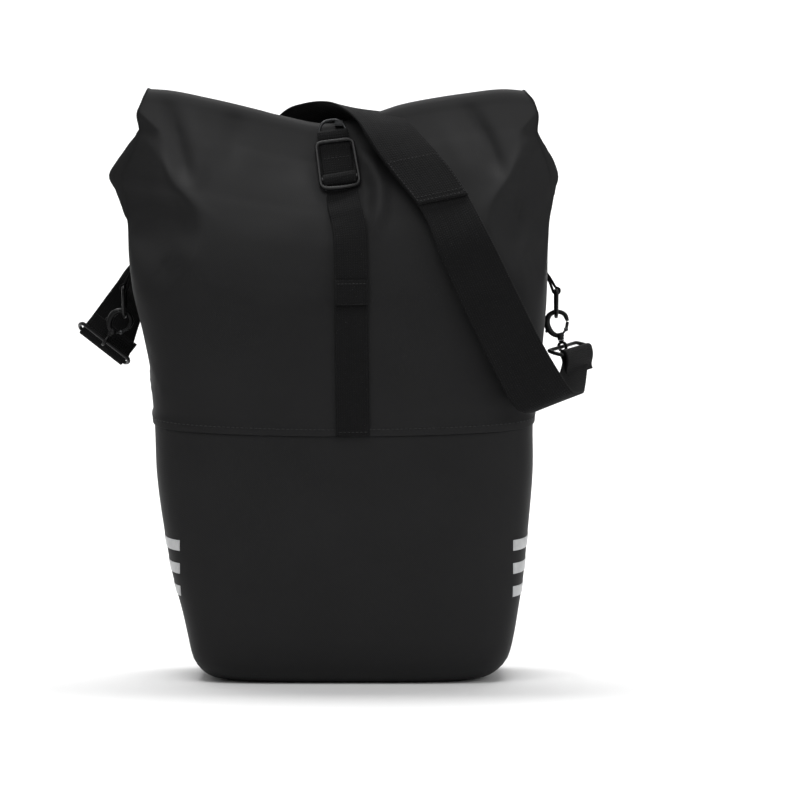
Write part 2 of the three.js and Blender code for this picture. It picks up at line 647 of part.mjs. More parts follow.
// An inverted J whose foot slides in the top rail, with an ear for the latch's pin and a
// shallow groove round its mouth for the rubber liner
function buildRackHook(name, side) {
  const x = side * HOOK_SPACING / 2;
  const inward = -side;
  const inner = MOUTH.y - MOUTH.radius;
  const outer = MOUTH.y + MOUTH.radius;
  const crown = MOUTH.radius + MOUTH.wall;
  const start = RAIL_FRONT + 0.5;
  const profile = new THREE.Shape();
  profile.moveTo(start, 369).lineTo(inner, 369).lineTo(inner, GROOVE.z);
  profile.lineTo(inner - GROOVE.depth, GROOVE.z).lineTo(inner - GROOVE.depth, MOUTH.z);
  profile.absarc(MOUTH.y, MOUTH.z, MOUTH.radius + GROOVE.depth, Math.PI, 0, true);
  profile.lineTo(outer + GROOVE.depth, GROOVE.z).lineTo(outer, GROOVE.z).lineTo(outer, 380);
  profile.lineTo(outer + 3, 378).lineTo(outer + MOUTH.wall, 383);
  profile.lineTo(outer + MOUTH.wall, MOUTH.z);
  profile.absarc(MOUTH.y, MOUTH.z, crown, 0, Math.PI, false);
  profile.lineTo(start, 396);
  const jaw = plateAlongX(profile, x, 26, 8);
  const foot = box([x - 13, FOOT_Y[0], RAIL_Z - 13.4], [x + 13, FOOT_Y[1], RAIL_Z + 13.4]);
  const neck = box([x - 13, FOOT_Y[1] - 1, RAIL_Z - 6.9], [x + 13, start + 1, RAIL_Z + 6.9]);
  const ear = plateAlongY(
    roundedRectangle(9, 7.5, 4, x + inward * 18, PIVOT.z), start, 101 - start, 3);
  const pinX = x + inward * PIVOT.x;
  const bore = rodAlongY(pinX, PIVOT.z, PIN_RADIUS + GAP, start - 1, 102);
  add(`rack_hook_${name}`, cut(join(jaw, foot, neck, ear), bore), blackPlastic);
  add(`latch_pin_${name}`, rodAlongY(pinX, PIVOT.z, PIN_RADIUS, start + 1, 121), steel);

  const liner = new THREE.Shape();
  const [skin, core] = [MOUTH.radius + GROOVE.depth - GAP, MOUTH.radius - 1.7];
  liner.moveTo(MOUTH.y - skin, 388).lineTo(MOUTH.y - skin, MOUTH.z);
  liner.absarc(MOUTH.y, MOUTH.z, skin, Math.PI, 0, true);
  liner.lineTo(MOUTH.y + skin, 388).lineTo(MOUTH.y + core, 388).lineTo(MOUTH.y + core, MOUTH.z);
  liner.absarc(MOUTH.y, MOUTH.z, core, 0, Math.PI, false);
  liner.lineTo(MOUTH.y - core, 388);
  add(`hook_liner_${name}`, plateAlongX(liner, x, 22, 8), rubber);

  const arm = [
    [24, 395], [16, 395], [14, 388.5], [-11, 386.5], [-11, 381], [14, 381], [22, 382],
    [26, 386], [40, 391], [40, 395], [27, 393],
  ];
  const latch = polygon(arm.map(([u, z]) => [x + inward * u, z]));
  latch.holes.push(
    new THREE.Path().absarc(pinX, PIVOT.z, PIN_RADIUS + GAP, 0, 2 * Math.PI));
  add(`hook_latch_${name}`, plateAlongY(latch, inner + 2.2, 14.8, 6), blackPlastic);

  const coil = [];
  const turnSteps = 8;
  for (let i = 0; i <= 1.75 * turnSteps; i++) {
    const angle = i * 2 * Math.PI / turnSteps;
    coil.push(vec(
      pinX + 3.2 * Math.cos(angle), 101.9 + 0.1 * i, PIVOT.z + 3.2 * Math.sin(angle)));
  }
  add(`latch_spring_${name}`, wire(coil, 0.35, { steps: 28, sides: 5 }), steel);
}

// A slider in the lower rail carries a swivelling arm that hooks behind a rack stay
function buildLowerHook() {
  const z = LOWER_RAIL_Z;
  const foot = box([-14, FOOT_Y[0], z - 8.6], [14, FOOT_Y[1], z + 8.6]);
  const neck = box([-10, FOOT_Y[1] - 1, z - 4.6], [10, RAIL_FRONT + 2, z + 4.6]);
  const disc = rodAlongY(0, z, 9, RAIL_FRONT + 0.5, 95, 16);
  const bore = rodAlongY(0, z, 2.8, FOOT_Y[0] + 1, 96);
  add('lower_slider', cut(join(foot, neck, disc), bore), blackPlastic);

  const armPlate = plateAlongY(roundedRectangle(8, 30, 7, 0, z - 22), 95.4, 4, 4);
  const palm = box([-8, 98, z - 52], [8, 115, z - 47]);
  const finger = box([-8, 111, z - 52], [8, 115, z - 34]);
  const armBore = rodAlongY(0, z, 2.8, 95, 100);
  add('lower_hook', cut(join(armPlate, palm, finger), armBore), blackPlastic);

  const shank = rodAlongY(0, z, 2.5, FOOT_Y[0] + 1.4, 101);
  const head = rodAlongY(0, z, 6, 99.8, 103, 14);
  add('lower_bolt', join(shank, head), steel);
}

// The carry handle arches over the hooks between two anchors on the ends of the top rail
function buildHandle() {
  const crestZ = 443;
  const anchorX = RAIL_HALF + GAP;
  for (const [name, side] of [['left', -1], ['right', 1]]) {
    const [near, far] = [side * anchorX, side * (anchorX + 7)];
    const anchor = box(
      [Math.min(near, far), RAIL_FACE, RAIL_Z - 13], [Math.max(near, far), 114, RAIL_Z + 13]);
    add(`handle_anchor_${name}`, anchor, blackPlastic);
  }
  const x = anchorX + 3.5;
  const half = [[x, RAIL_Z + 13.3], [x - 1, 416], [x - 9, 432], [x - 30, crestZ - 2]];
  const mirrored = half.map(([px, pz]) => [-px, pz]).reverse();
  const route = [...half, [0, crestZ], ...mirrored];
  const edge = (y) => route.map(([px, pz]) => vec(px, y, pz));
  add('carry_handle', ribbon(edge(92), edge(114), 2.6, 28), webbing);
}

buildRackHook('left', -1);
buildRackHook('right', 1);
buildLowerHook();
buildHandle();

export default group;
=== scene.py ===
import json
import math

import bpy
import numpy as np
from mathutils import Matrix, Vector, noise
from mathutils.bvhtree import BVHTree

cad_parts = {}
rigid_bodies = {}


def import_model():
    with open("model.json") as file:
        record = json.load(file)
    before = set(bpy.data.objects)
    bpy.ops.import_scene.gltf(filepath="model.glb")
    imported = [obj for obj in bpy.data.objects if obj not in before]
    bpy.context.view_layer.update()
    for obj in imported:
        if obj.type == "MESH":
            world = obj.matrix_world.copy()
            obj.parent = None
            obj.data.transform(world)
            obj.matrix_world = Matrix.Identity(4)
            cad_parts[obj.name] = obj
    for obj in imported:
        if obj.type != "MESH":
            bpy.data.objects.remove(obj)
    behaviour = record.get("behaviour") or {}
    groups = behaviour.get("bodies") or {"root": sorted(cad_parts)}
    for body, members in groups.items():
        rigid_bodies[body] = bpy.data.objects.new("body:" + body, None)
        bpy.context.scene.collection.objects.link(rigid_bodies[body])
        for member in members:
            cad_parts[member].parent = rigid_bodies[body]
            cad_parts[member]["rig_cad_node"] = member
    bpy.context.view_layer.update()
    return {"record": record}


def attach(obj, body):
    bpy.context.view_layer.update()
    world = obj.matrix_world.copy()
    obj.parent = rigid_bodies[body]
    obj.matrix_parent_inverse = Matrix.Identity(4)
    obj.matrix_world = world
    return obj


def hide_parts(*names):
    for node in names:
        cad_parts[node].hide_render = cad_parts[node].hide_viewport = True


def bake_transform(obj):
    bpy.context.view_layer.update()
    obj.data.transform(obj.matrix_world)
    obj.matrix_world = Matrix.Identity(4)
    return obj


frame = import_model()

# Roll-top pannier bag. Shapes are worked out in millimetres and stored in metres.
# +Z is up, the front faces -Y, the rack side is +Y and the origin is the middle of the base.
MM = 0.001

SEAM_HEIGHT = 236
TOP_HEIGHT = 540
TOP_SAG = 33
ROLL_START = 503
LEAN_START = 357
CORNER_BLEND = 14
FOOT_MIDDLE = 4
BASE_THICKNESS = 2
WIRE_RADIUS = 1.75
CLOTH_FRAMES = 20
CLOTH_CAP = 0.9

# Thickness of the lower shell, the upper body, the roll and the three kinds of webbing
FABRIC = 1.4
UPPER_FABRIC = 1.2
ROLL_FABRIC = 0.7
WEBBING = 2.2
THIN_WEBBING = 2.0
HANDLE_WEBBING = 2.6

STRAP_WIDTH = 50
FRONT_STRAP_WIDTH = 30
LOOP_WIDTH = 28
HANDLE_WIDTH = 22
TAB_WIDTH = 19
CATCH_WIDTH = 15

# The bag's plan shape at each nominal height: left and right edge, front and back face,
# how square the plan is, and how deep the side gusset folds in.
PROFILE_KEYS = ("h", "left", "right", "front", "back", "square", "fold")
PROFILE = np.array([
    (0, -110, 117.5, -58, 56, 4, 0),
    (3, -124, 130, -67, 66, 4.2, 0),
    (10, -133.5, 140.5, -74, 73, 4.7, 0),
    (20, -140, 148.5, -77.5, 77, 5, 0),
    (40, -145, 154, -80, 79, 5, 0),
    (110, -161, 163.5, -81, 80, 5, 0),
    (186, -171.5, 169.5, -83, 80, 5, 0),
    (236, -175, 171.5, -84, 80, 5, 0),
    (290, -180, 178.5, -86.5, 80, 5, 1),
    (357, -194, 183.5, -85, 80, 5, 5),
    (385, -196.5, 184.5, -80.5, 79.5, 5.2, 11),
    (415, -199, 186, -72.5, 78, 5.5, 20),
    (447, -210, 191, -58.8, 70, 6, 34),
    (459, -215.5, 193.5, -52.3, 64, 6, 38),
    (472, -208.5, 190, -44.3, 54, 6, 36),
    (486, -199, 183, -35.5, 40, 6, 30),
    (503, -189, 175, -25, 14, 6, 12),
    (515, -191, 176, -17, 9, 6, 4),
    (528, -187, 173, -9, 9, 6, 0),
    (540, -181, 162, -4, 9, 6, 0),
], float)


# ------------------------------------------------------------------ camera, lights, floor

VIEW_X = 49.5
VIEW_Z = 258.3
FRONT_Y = -80
CAMERA_DISTANCE = 3500
CAMERA_ELEVATION = math.radians(3)
FIELD_WIDTH = 720
SENSOR = 36


def make_camera():
    camera_data = bpy.data.cameras.new("camera")
    camera_data.sensor_width = SENSOR
    camera_data.lens = SENSOR * CAMERA_DISTANCE / FIELD_WIDTH
    camera_data.clip_end = 20
    camera = bpy.data.objects.new("camera", camera_data)
    bpy.context.scene.collection.objects.link(camera)
    target = Vector((VIEW_X, FRONT_Y, VIEW_Z)) * MM
    back = Vector((0, -math.cos(CAMERA_ELEVATION), math.sin(CAMERA_ELEVATION)))
    camera.location = target + back * CAMERA_DISTANCE * MM
    camera.rotation_euler = (math.pi / 2 - CAMERA_ELEVATION, 0, 0)
    bpy.context.scene.camera = camera


def area_light(name, location, target, size, power):
    light_data = bpy.data.lights.new(name, "AREA")
    light_data.shape = "RECTANGLE"
    light_data.size, light_data.size_y = size
    light_data.energy = power
    light = bpy.data.objects.new(name, light_data)
    light.location = location
    light.rotation_euler = (Vector(target) - Vector(location)).to_track_quat("-Z", "Y").to_euler()
    bpy.context.scene.collection.objects.link(light)


def make_studio():
    world = bpy.data.worlds.new("studio")
    world.use_nodes = True
    world.node_tree.nodes["Background"].inputs["Color"].default_value = (1, 1, 1, 1)
    world.node_tree.nodes["Background"].inputs["Strength"].default_value = 0.29
    bpy.context.scene.world = world
    bpy.context.scene.view_settings.view_transform = "Standard"
    aim = (0, 0, 0.3)
    area_light("key", (-0.3, -1.3, 2.5), aim, (1.8, 1.4), 27)
    area_light("right_fill", (2.4, -1.5, 1.3), aim, (1.4, 1.6), 18)
    area_light("left_rim", (-2.2, 1.2, 1.4), aim, (1.2, 1.6), 5)
    area_light("backdrop", (0, 0.9, 3.4), (0, 3.2, 0.6), (3.0, 1.5), 160)

    material = bpy.data.materials.new("pale_floor")
    material.use_nodes = True
    shader = material.node_tree.nodes["Principled BSDF"]
    shader.inputs["Base Color"].default_value = (0.9, 0.9, 0.9, 1)
    shader.inputs["Roughness"].default_value = 0.9
    half_width, near, far, height, bend = 7.0, -7.0, 4.0, 5.0, 1.5
    profile = [(near, 0.0)]
    for step in range(17):
        turn = math.pi / 2 * step / 16
        profile.append((far - bend + bend * math.sin(turn), bend - bend * math.cos(turn)))
    profile.append((far, height))
    points = [(side * half_width, y, z) for y, z in profile for side in (-1, 1)]
    mesh = bpy.data.meshes.new("floor")
    mesh.from_pydata(points, [], [
        (2 * i, 2 * i + 1, 2 * i + 3, 2 * i + 2) for i in range(len(profile) - 1)])
    mesh.polygons.foreach_set("use_smooth", [True] * len(mesh.polygons))
    mesh.materials.append(material)
    floor = bpy.data.objects.new("floor", mesh)
    bpy.context.scene.collection.objects.link(floor)


# ------------------------------------------------------------------ mesh helpers

def make_object(name, points, faces, material, body="root", slot=None, uv=None, replaces=()):
    """A mesh piece from points in millimetres, riding on a body unless that is None."""
    mesh = bpy.data.meshes.new(name)
    mesh.from_pydata((np.asarray(points, float) * MM).tolist(), [], faces)
    if uv is not None:
        layer = mesh.uv_layers.new(name="UVMap")
        flat = np.array([loop.vertex_index for loop in mesh.loops])
        layer.data.foreach_set("uv", np.asarray(uv, np.float32)[flat].ravel())
    mesh.polygons.foreach_set("use_smooth", [True] * len(mesh.polygons))
    mesh.materials.append(material)
    mesh.update()
    obj = bpy.data.objects.new(name, mesh)
    bpy.context.scene.collection.objects.link(obj)
    if body:
        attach(obj, body)
    if replaces:
        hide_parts(*replaces)
    return obj


def grid_faces(rows, columns, close_rows=False, close_columns=False):
    """Quads over a grid of rows by columns of points, wrapping round where asked."""
    faces = []
    for i in range(rows if close_rows else rows - 1):
        for j in range(columns if close_columns else columns - 1):
            k, m = (i + 1) % rows, (j + 1) % columns
            faces.append((i * columns + j, i * columns + m, k * columns + m, k * columns + j))
    return faces


def outward(points, faces):
    """The faces turned so that the closed solid's volume is positive."""
    points = np.asarray(points, float)
    volume = 0.0
    for face in faces:
        a = points[face[0]]
        for i in range(1, len(face) - 1):
            volume += np.dot(a, np.cross(points[face[i]], points[face[i + 1]]))
    return faces if volume > 0 else [tuple(reversed(face)) for face in faces]


def unit(vectors):
    return vectors / np.maximum(np.linalg.norm(vectors, axis=-1, keepdims=True), 1e-9)


def lengths_along(points):
    """The distance along a line of points, from 0 at its first point."""
    steps = np.linalg.norm(np.diff(points, axis=0), axis=1)
    return np.concatenate([[0], np.cumsum(steps)])


def columns_at(place, known, points):
    """Points interpolated along a line whose own points are known at given places."""
    return np.stack([np.interp(place, known, column) for column in points.T], -1)


def catmull(points, count, closed=False):
    """A smooth curve through the points, sampled at equal steps of length."""
    points = np.asarray(points, float)
    if closed:
        padded = np.vstack([points[-1:], points, points[:2]])
    else:
        padded = np.vstack([2 * points[:1] - points[1:2], points, 2 * points[-1:] - points[-2:-1]])
    fine = []
    steps = 24
    for i in range(1, len(padded) - 2):
        p0, p1, p2, p3 = padded[i - 1:i + 3]
        t = np.linspace(0, 1, steps, endpoint=False)[:, None]
        fine.append(0.5 * (2 * p1 + (p2 - p0) * t + (2 * p0 - 5 * p1 + 4 * p2 - p3) * t ** 2
                           + (3 * p1 - p0 - 3 * p2 + p3) * t ** 3))
    fine = np.vstack(fine + [padded[-2:-1]])
    length = lengths_along(fine)
    at = np.linspace(0, length[-1], count + 1 if closed else count)
    sampled = columns_at(at, length, fine)
    return sampled[:-1] if closed else sampled


def sweep(centres, section, closed=False, start_normal=None):
    """Rings of a section (n by 2) carried along a curve without twisting."""
    centres = np.asarray(centres, float)
    if closed:
        tangents = unit(np.roll(centres, -1, 0) - np.roll(centres, 1, 0))
    else:
        tangents = unit(np.gradient(centres, axis=0))
    guess = np.array(start_normal if start_normal is not None else (0.3, 0.5, 0.8), float)
    normal = unit(guess - tangents[0] * np.dot(guess, tangents[0]))
    normals = [normal]
    for tangent in tangents[1:]:
        normal = unit(normal - tangent * np.dot(normal, tangent))
        normals.append(normal)
    normals = np.array(normals)
    if closed:
        last = unit(normals[-1] - tangents[0] * np.dot(normals[-1], tangents[0]))
        across = np.cross(tangents[0], normals[0])
        error = math.atan2(np.dot(last, across), np.dot(last, normals[0]))
        turn = -error * np.arange(len(centres)) / len(centres)
        other = np.cross(tangents, normals)
        normals = normals * np.cos(turn)[:, None] + other * np.sin(turn)[:, None]
    binormals = np.cross(tangents, normals)
    return (centres[:, None, :] + section[None, :, 0, None] * normals[:, None, :]
            + section[None, :, 1, None] * binormals[:, None, :])


def solid_from_rings(rings, closed=False):
    """Points and outward faces of a closed solid through rings of points."""
    rings = np.asarray(rings, float)
    rows, columns = rings.shape[:2]
    points = rings.reshape(-1, 3)
    faces = grid_faces(rows, columns, close_rows=closed, close_columns=True)
    if not closed:
        faces.append(tuple(range(columns - 1, -1, -1)))
        first = (rows - 1) * columns
        faces.append(tuple(range(first, first + columns)))
    return points, outward(points, faces)


def circle(radius, sides):
    angle = np.linspace(0, 2 * np.pi, sides, endpoint=False)
    return np.stack([radius * np.cos(angle), radius * np.sin(angle)], 1)


def wire_loop(centres, radius, sides=14):
    """A closed ring of round wire."""
    return solid_from_rings(sweep(centres, circle(radius, sides), closed=True), closed=True)


def smoothstep(value, low, high):
    t = np.clip((value - low) / (high - low), 0, 1)
    return t * t * (3 - 2 * t)


# ------------------------------------------------------------------ the bag's skin

def monotone(x, keys, values):
    """Smooth interpolation through the table that never overshoots between its rows."""
    step = np.diff(keys)
    slope = np.diff(values) / step
    tangent = np.zeros(len(keys))
    tangent[0], tangent[-1] = slope[0], slope[-1]
    same_way = slope[:-1] * slope[1:] > 0
    weight_a = 2 * step[1:] + step[:-1]
    weight_b = step[1:] + 2 * step[:-1]
    safe = np.where(same_way, slope[:-1], 1), np.where(same_way, slope[1:], 1)
    mean = (weight_a + weight_b) / (weight_a / safe[0] + weight_b / safe[1])
    tangent[1:-1] = np.where(same_way, mean, 0)
    index = np.clip(np.searchsorted(keys, x) - 1, 0, len(step) - 1)
    t = (np.clip(x, keys[0], keys[-1]) - keys[index]) / step[index]
    width = step[index]
    return ((1 + 2 * t) * (1 - t) ** 2 * values[index]
            + t * (1 - t) ** 2 * width * tangent[index]
            + t * t * (3 - 2 * t) * values[index + 1]
            + t * t * (t - 1) * width * tangent[index + 1])


def profile(name, h):
    return monotone(h, PROFILE[:, 0], PROFILE[:, PROFILE_KEYS.index(name)])


# Sag of the top edge, as a share of TOP_SAG, at u from -1 at the left to 1 at the right
TOP_DROP = np.array([
    (-1, 0), (-0.91, 0.03), (-0.664, 0.27), (-0.413, 0.58), (-0.31, 0.72), (-0.05, 0.96),
    (0.1, 0.84), (0.24, 0.61), (0.34, 0.44), (0.49, 0.28), (0.69, 0.12), (0.89, 0.01), (1, 0.05),
])


def top_sag(u):
    return monotone(u, TOP_DROP[:, 0], TOP_DROP[:, 1])


def rise(u, v, h):
    """How far a point lies above its nominal height: the seam smiles and the top edge sags."""
    seam = -8 + 6 * u * u + 10 * smoothstep(v, -1, 0)
    top = -TOP_SAG * top_sag(u)
    share = np.clip((h - SEAM_HEIGHT) / (ROLL_START - SEAM_HEIGHT), 0, 1)
    return np.where(h <= SEAM_HEIGHT, seam * h / SEAM_HEIGHT, seam + (top - seam) * share)


def soft_max(a, b, blend):
    overlap = np.maximum(blend - np.abs(a - b), 0) / np.maximum(blend, 1e-6)
    return np.maximum(a, b) + overlap ** 2 * blend / 4


# Depth left in front of and behind the middle near the upper corners, where the side gussets
# pull the panels together; its meeting with the leaning top makes the diagonal crease
CORNER_DEPTH = np.array([
    (-1, 15), (-0.86, 31), (-0.605, 67), (-0.375, 83), (-0.26, 87), (0, 92),
    (0.3, 91), (0.52, 84), (0.652, 73), (0.72, 63), (0.907, 29), (1, 15),
], float)


def plan(angle, h):
    """The plan shape as u and v, both from -1 to 1, with the gusset folded in at the sides."""
    square = np.minimum(profile("square", h), np.interp(h, (LEAN_START, 415), (5, 3)))
    c, s = np.cos(angle), np.sin(angle)
    reach = (np.abs(c) ** square + np.abs(s) ** square) ** (-1 / square)
    u, v = reach * c, reach * s
    half = (profile("right", h) - profile("left", h)) / 2
    fold = profile("fold", h) * np.maximum(0, 1 - np.abs(v) / 0.62) ** 1.25 * u ** 4 / half
    u = u - fold * np.sign(u)
    return u / np.max(np.abs(u), axis=-1, keepdims=True), v


def line_relief(x, z, path, height, width, fade=(0.25, 0.25)):
    """A ridge or valley along a path, highest in its middle and fading at both ends."""
    path = np.asarray(path, float)
    starts = lengths_along(path)
    lengths = np.linalg.norm(np.diff(path, axis=0), axis=1)
    nearest = np.full(x.shape, 1e9)
    along = np.zeros(x.shape)
    for i, length in enumerate(lengths):
        direction = (path[i + 1] - path[i]) / length
        t = np.clip((x - path[i][0]) * direction[0] + (z - path[i][1]) * direction[1], 0, length)
        distance = np.hypot(x - path[i][0] - t * direction[0], z - path[i][1] - t * direction[1])
        closer = distance < nearest
        nearest = np.where(closer, distance, nearest)
        along = np.where(closer, (starts[i] + t) / starts[-1], along)
    ends = smoothstep(along, -0.02, fade[0]) * smoothstep(1 - along, -0.02, fade[1])
    return height * ends * np.exp(-(nearest / width) ** 2)


# Creases in the front panel as (path of x and z, height, width, fade at both ends):
# positive ones stand out of the panel, negative ones sink into it.
FRONT_CREASES = (
    (((-190, 502), (-163, 466), (-136, 436), (-112, 414)), 2.4, 5.5, (0.1, 0.5)),
    (((-168, 540), (-154, 492), (-141, 449)), -4.4, 7, (0.55, 0.25)),
    (((-148, 534), (-133, 484), (-128, 448)), 2, 8, (0.5, 0.3)),
    (((-103, 536), (-101, 490), (-104, 455)), -2.4, 10, (0.5, 0.5)),
    (((-200, 441), (-160, 406), (-124, 366)), 2.2, 13, (0.3, 0.5)),
    (((-166, 380), (-152, 370)), -1.8, 13, (0.1, 0.1)),
    (((174, 500), (153, 468), (137, 443), (120, 424)), 2.4, 5.5, (0.1, 0.5)),
    (((104, 536), (129, 492), (143, 455)), -4.4, 7.5, (0.6, 0.25)),
    (((86, 520), (104, 478), (118, 444)), 2, 11, (0.5, 0.4)),
    (((188, 461), (174, 424), (162, 391), (168, 350), (175, 331)), 2.6, 7, (0.1, 0.3)),
    (((9, 486), (24, 470), (31, 452), (31, 432), (23, 398)), 5, 7.5, (0.2, 0.35)),
    (((16, 462), (20, 440), (16, 420)), -2.2, 7, (0.3, 0.3)),
    (((-44, 470), (-36, 430), (-32, 395)), 1.5, 16, (0.3, 0.4)),
)
BACK_CREASES = (
    (((-187, 497), (-150, 452), (-110, 425)), 3.2, 8, (0.1, 0.6)),
    (((-160, 508), (-140, 458)), -5, 10, (0.1, 0.4)),
    (((173, 499), (140, 450), (108, 425)), 3.2, 8, (0.1, 0.6)),
    (((128, 508), (120, 462)), -5, 10, (0.1, 0.4)),
    (((-40, 470), (-30, 420)), 2.5, 16, (0.3, 0.4)),
    (((50, 470), (44, 425)), -2.5, 16, (0.3, 0.4)),
)


def crease_field(x, z, v):
    """How far the creases move the panels: outward along -y in front and +y behind."""
    front = sum(line_relief(x, z, *crease) for crease in FRONT_CREASES)
    back = sum(line_relief(x, z, *crease) for crease in BACK_CREASES)
    return -front * smoothstep(-v, 0.02, 0.3) + back * smoothstep(v, 0.02, 0.3)


def skin(angle, h):
    """Points of the bag's outside at plan angles (n) and nominal heights (m): m by n by 3."""
    h = np.asarray(h, float)[:, None]
    angle = np.asarray(angle, float)[None, :]
    u, v = plan(angle, h)
    left, right = profile("left", h), profile("right", h)
    front, back = profile("front", h), profile("back", h)
    x = (left + right) / 2 + u * (right - left) / 2
    z = h + rise(u, v, h)
    full_front = np.minimum(front, np.interp(h, (300, LEAN_START), (0, -85)))
    full_back = np.maximum(back, np.interp(h, (300, LEAN_START), (0, 80)))
    y = (full_front + full_back) / 2 + v * (full_back - full_front) / 2
    blend = 2.5 + 14 * (1 - smoothstep(np.abs(u), 0.3, 0.6))
    blend = blend * smoothstep(h, LEAN_START, 420)
    corner = monotone(u, CORNER_DEPTH[:, 0], CORNER_DEPTH[:, 1])
    corner = corner + 60 * (1 - smoothstep(h, 330, 446))
    y = soft_max(y, -corner, CORNER_BLEND)
    y = -soft_max(-y, -corner, CORNER_BLEND)
    y = soft_max(y, front + 0 * y, blend)
    y = -soft_max(-y, -back + 0 * y, blend)
    y = y + crease_field(x, z, v) * np.where(v < 0, 1, smoothstep(ROLL_START - h, 0, 22))
    return np.stack([x, y, z], -1)


def even_angles(count, h=300):
    """Plan angles that are about equally far apart along the outline."""
    fine = np.linspace(0, 2 * np.pi, 4001)
    length = lengths_along(skin(fine, [h])[0])
    return np.interp(np.linspace(0, length[-1], count, endpoint=False), length, fine)


def grid_normals(points):
    """Outward normals of a grid whose columns go round the bag and whose rows go up."""
    around = np.roll(points, -1, 1) - np.roll(points, 1, 1)
    up = np.gradient(points, axis=0)
    return unit(np.cross(around, up))


def two_skins(outer, inner):
    """One closed solid between an outer and an inner grid that are both open tubes."""
    return solid_from_rings(np.concatenate([outer, inner[::-1]]), closed=True)


# The rolled mouth as seen from the end: y, height against the top edge, half thickness
ROLL_PATH = (
    (-5.5, -37, 19.5), (-8, -28, 12), (-8.6, -20, 7), (-7.4, -12, 3.9), (-5.8, -7, 2.6),
    (-3.6, -3.4, 2.0), (0.2, -1.9, 1.8), (6, -1.9, 1.8), (14, -2.4, 2),
    (24, -4, 2), (29.3, -11, 2), (29.6, -22, 2), (26, -30.5, 1.9), (17, -32.5, 1.9), (9, -29, 1.9),
    (4.5, -21, 1.9), (5.5, -12, 1.8), (12, -7.6, 1.8), (20, -9, 1.8), (24, -16, 1.7),
    (22, -24, 1.7), (15, -27, 1.6), (10.5, -21, 1.6), (12, -15, 1.5), (17, -15, 1.4),
)


def roll_rows(angle):
    """The tube's rows above the shoulder, flattened and rolled backwards."""
    path = catmull(ROLL_PATH, 110)
    tangent = unit(np.gradient(path[:, :2], axis=0))
    normal = np.stack([tangent[:, 1], -tangent[:, 0]], 1)
    level = smoothstep(path[:, 2:3], 2.3, 4.5)
    normal = unit(normal * (1 - level) + np.array([1, 0]) * level)
    u, v = plan(angle[None, :], np.array([[ROLL_START]]))
    across = np.clip(v * 4.3, -1, 1)
    corner = monotone(u[0], CORNER_DEPTH[:, 0], CORNER_DEPTH[:, 1])
    rising = np.argmax(path[:, 1])
    rows = []
    for i, (y, drop, half) in enumerate(path):
        share = i / (len(path) - 1)
        h = TOP_HEIGHT + max(drop, ROLL_START - TOP_HEIGHT)
        left, right = profile("left", np.array([h]))[0], profile("right", np.array([h]))[0]
        inset = 5 * smoothstep(share, 0.2, 0.45) + 3 * smoothstep(share, 0.5, 0.8)
        x = (left + right) / 2 + u[0] * ((right - left) / 2 - inset)
        middle = -TOP_SAG * top_sag(u[0])
        offset = across[0] * np.minimum(half, np.maximum(corner + y, 2.5))
        z = TOP_HEIGHT + middle + drop + offset * normal[i][1]
        if i < rising:
            y = y + crease_field(x, z, -np.ones_like(x)) * smoothstep(-drop, 3, 15)
        rows.append(np.stack([x, y + offset * normal[i][0], z], 1))
    return np.array(rows)


# ------------------------------------------------------------------ bag shells

def ripple(points, size, height, seed=0.0):
    """Slow unevenness of hand-sewn fabric, as a height for each point of a grid."""
    flat = points.reshape(-1, 3) / size + seed
    values = [noise.noise(Vector(p)) for p in flat]
    return height * np.array(values).reshape(points.shape[:-1])


def build_lower_shell(material):
    """The stiffer lower part with its closed foot, a little wavy like real fabric."""
    angle = even_angles(300)
    heights = np.concatenate([
        [0, 0.6, 1.5, 3, 5, 7.5, 10, 14, 20, 26, 33], np.linspace(40, SEAM_HEIGHT - 0.4, 56)])
    outer = skin(angle, heights)
    normals = grid_normals(outer)
    swell = 1.2 * smoothstep(heights, 60, 100) * smoothstep(SEAM_HEIGHT - heights, 0, 50)
    outer = outer + normals * (ripple(outer, 70, 1.0) * smoothstep(heights, 20, 80)[:, None]
                               + swell[:, None])[..., None]
    inner = outer - normals * FABRIC
    inner[:, :, 2] = np.maximum(inner[:, :, 2], BASE_THICKNESS)
    middle_out = np.array([
        (FOOT_MIDDLE + 0.02 * (p[0] - FOOT_MIDDLE), 0.02 * p[1], 0) for p in outer[0]])
    middle_in = middle_out + (0, 0, BASE_THICKNESS)
    rings = np.concatenate([
        middle_out[None], (outer[:1] + middle_out[None]) / 2, outer, inner[::-1],
        (inner[:1] + middle_in[None]) / 2, middle_in[None]])
    make_object("bag_lower_shell", *solid_from_rings(rings), material, slot="coated_fabric",
                replaces=("lower_shell",))
    return outer


def upper_grid():
    """The upper body's rows from the hem to the end of the roll, and the hem's step outward."""
    angle = even_angles(340)
    hem = [233.6, 234.2, 236, 238, 240, 242.5]
    heights = np.concatenate([hem, np.arange(246, ROLL_START, 3.2)])
    body = skin(angle, heights)
    proud = 1.5 * (1 - smoothstep(heights, 238, 246))
    body = body + grid_normals(body) * proud[:, None, None]
    return angle, heights, body


def build_upper_body(material):
    angle, heights, body = upper_grid()
    normals = grid_normals(body)
    fade = (smoothstep(heights, 245, 275) * smoothstep(ROLL_START - heights, 0, 40))[:, None]
    body = body + normals * (ripple(body, 60, 1.3, 7.0) * fade)[..., None]
    body = settle_cloth(body, heights)
    outer = np.concatenate([body, roll_rows(angle)[1:]])
    normals = grid_normals(outer)
    thickness = np.full(len(outer), ROLL_FABRIC)
    thickness[:len(heights)] = UPPER_FABRIC
    inner = outer - normals * thickness[:, None, None]
    make_object("bag_upper_body", *two_skins(outer, inner), material, slot="coated_fabric",
                replaces=("upper_body", "seam_edge", "roll_closure", "roll_stiffener"))
    return body, heights


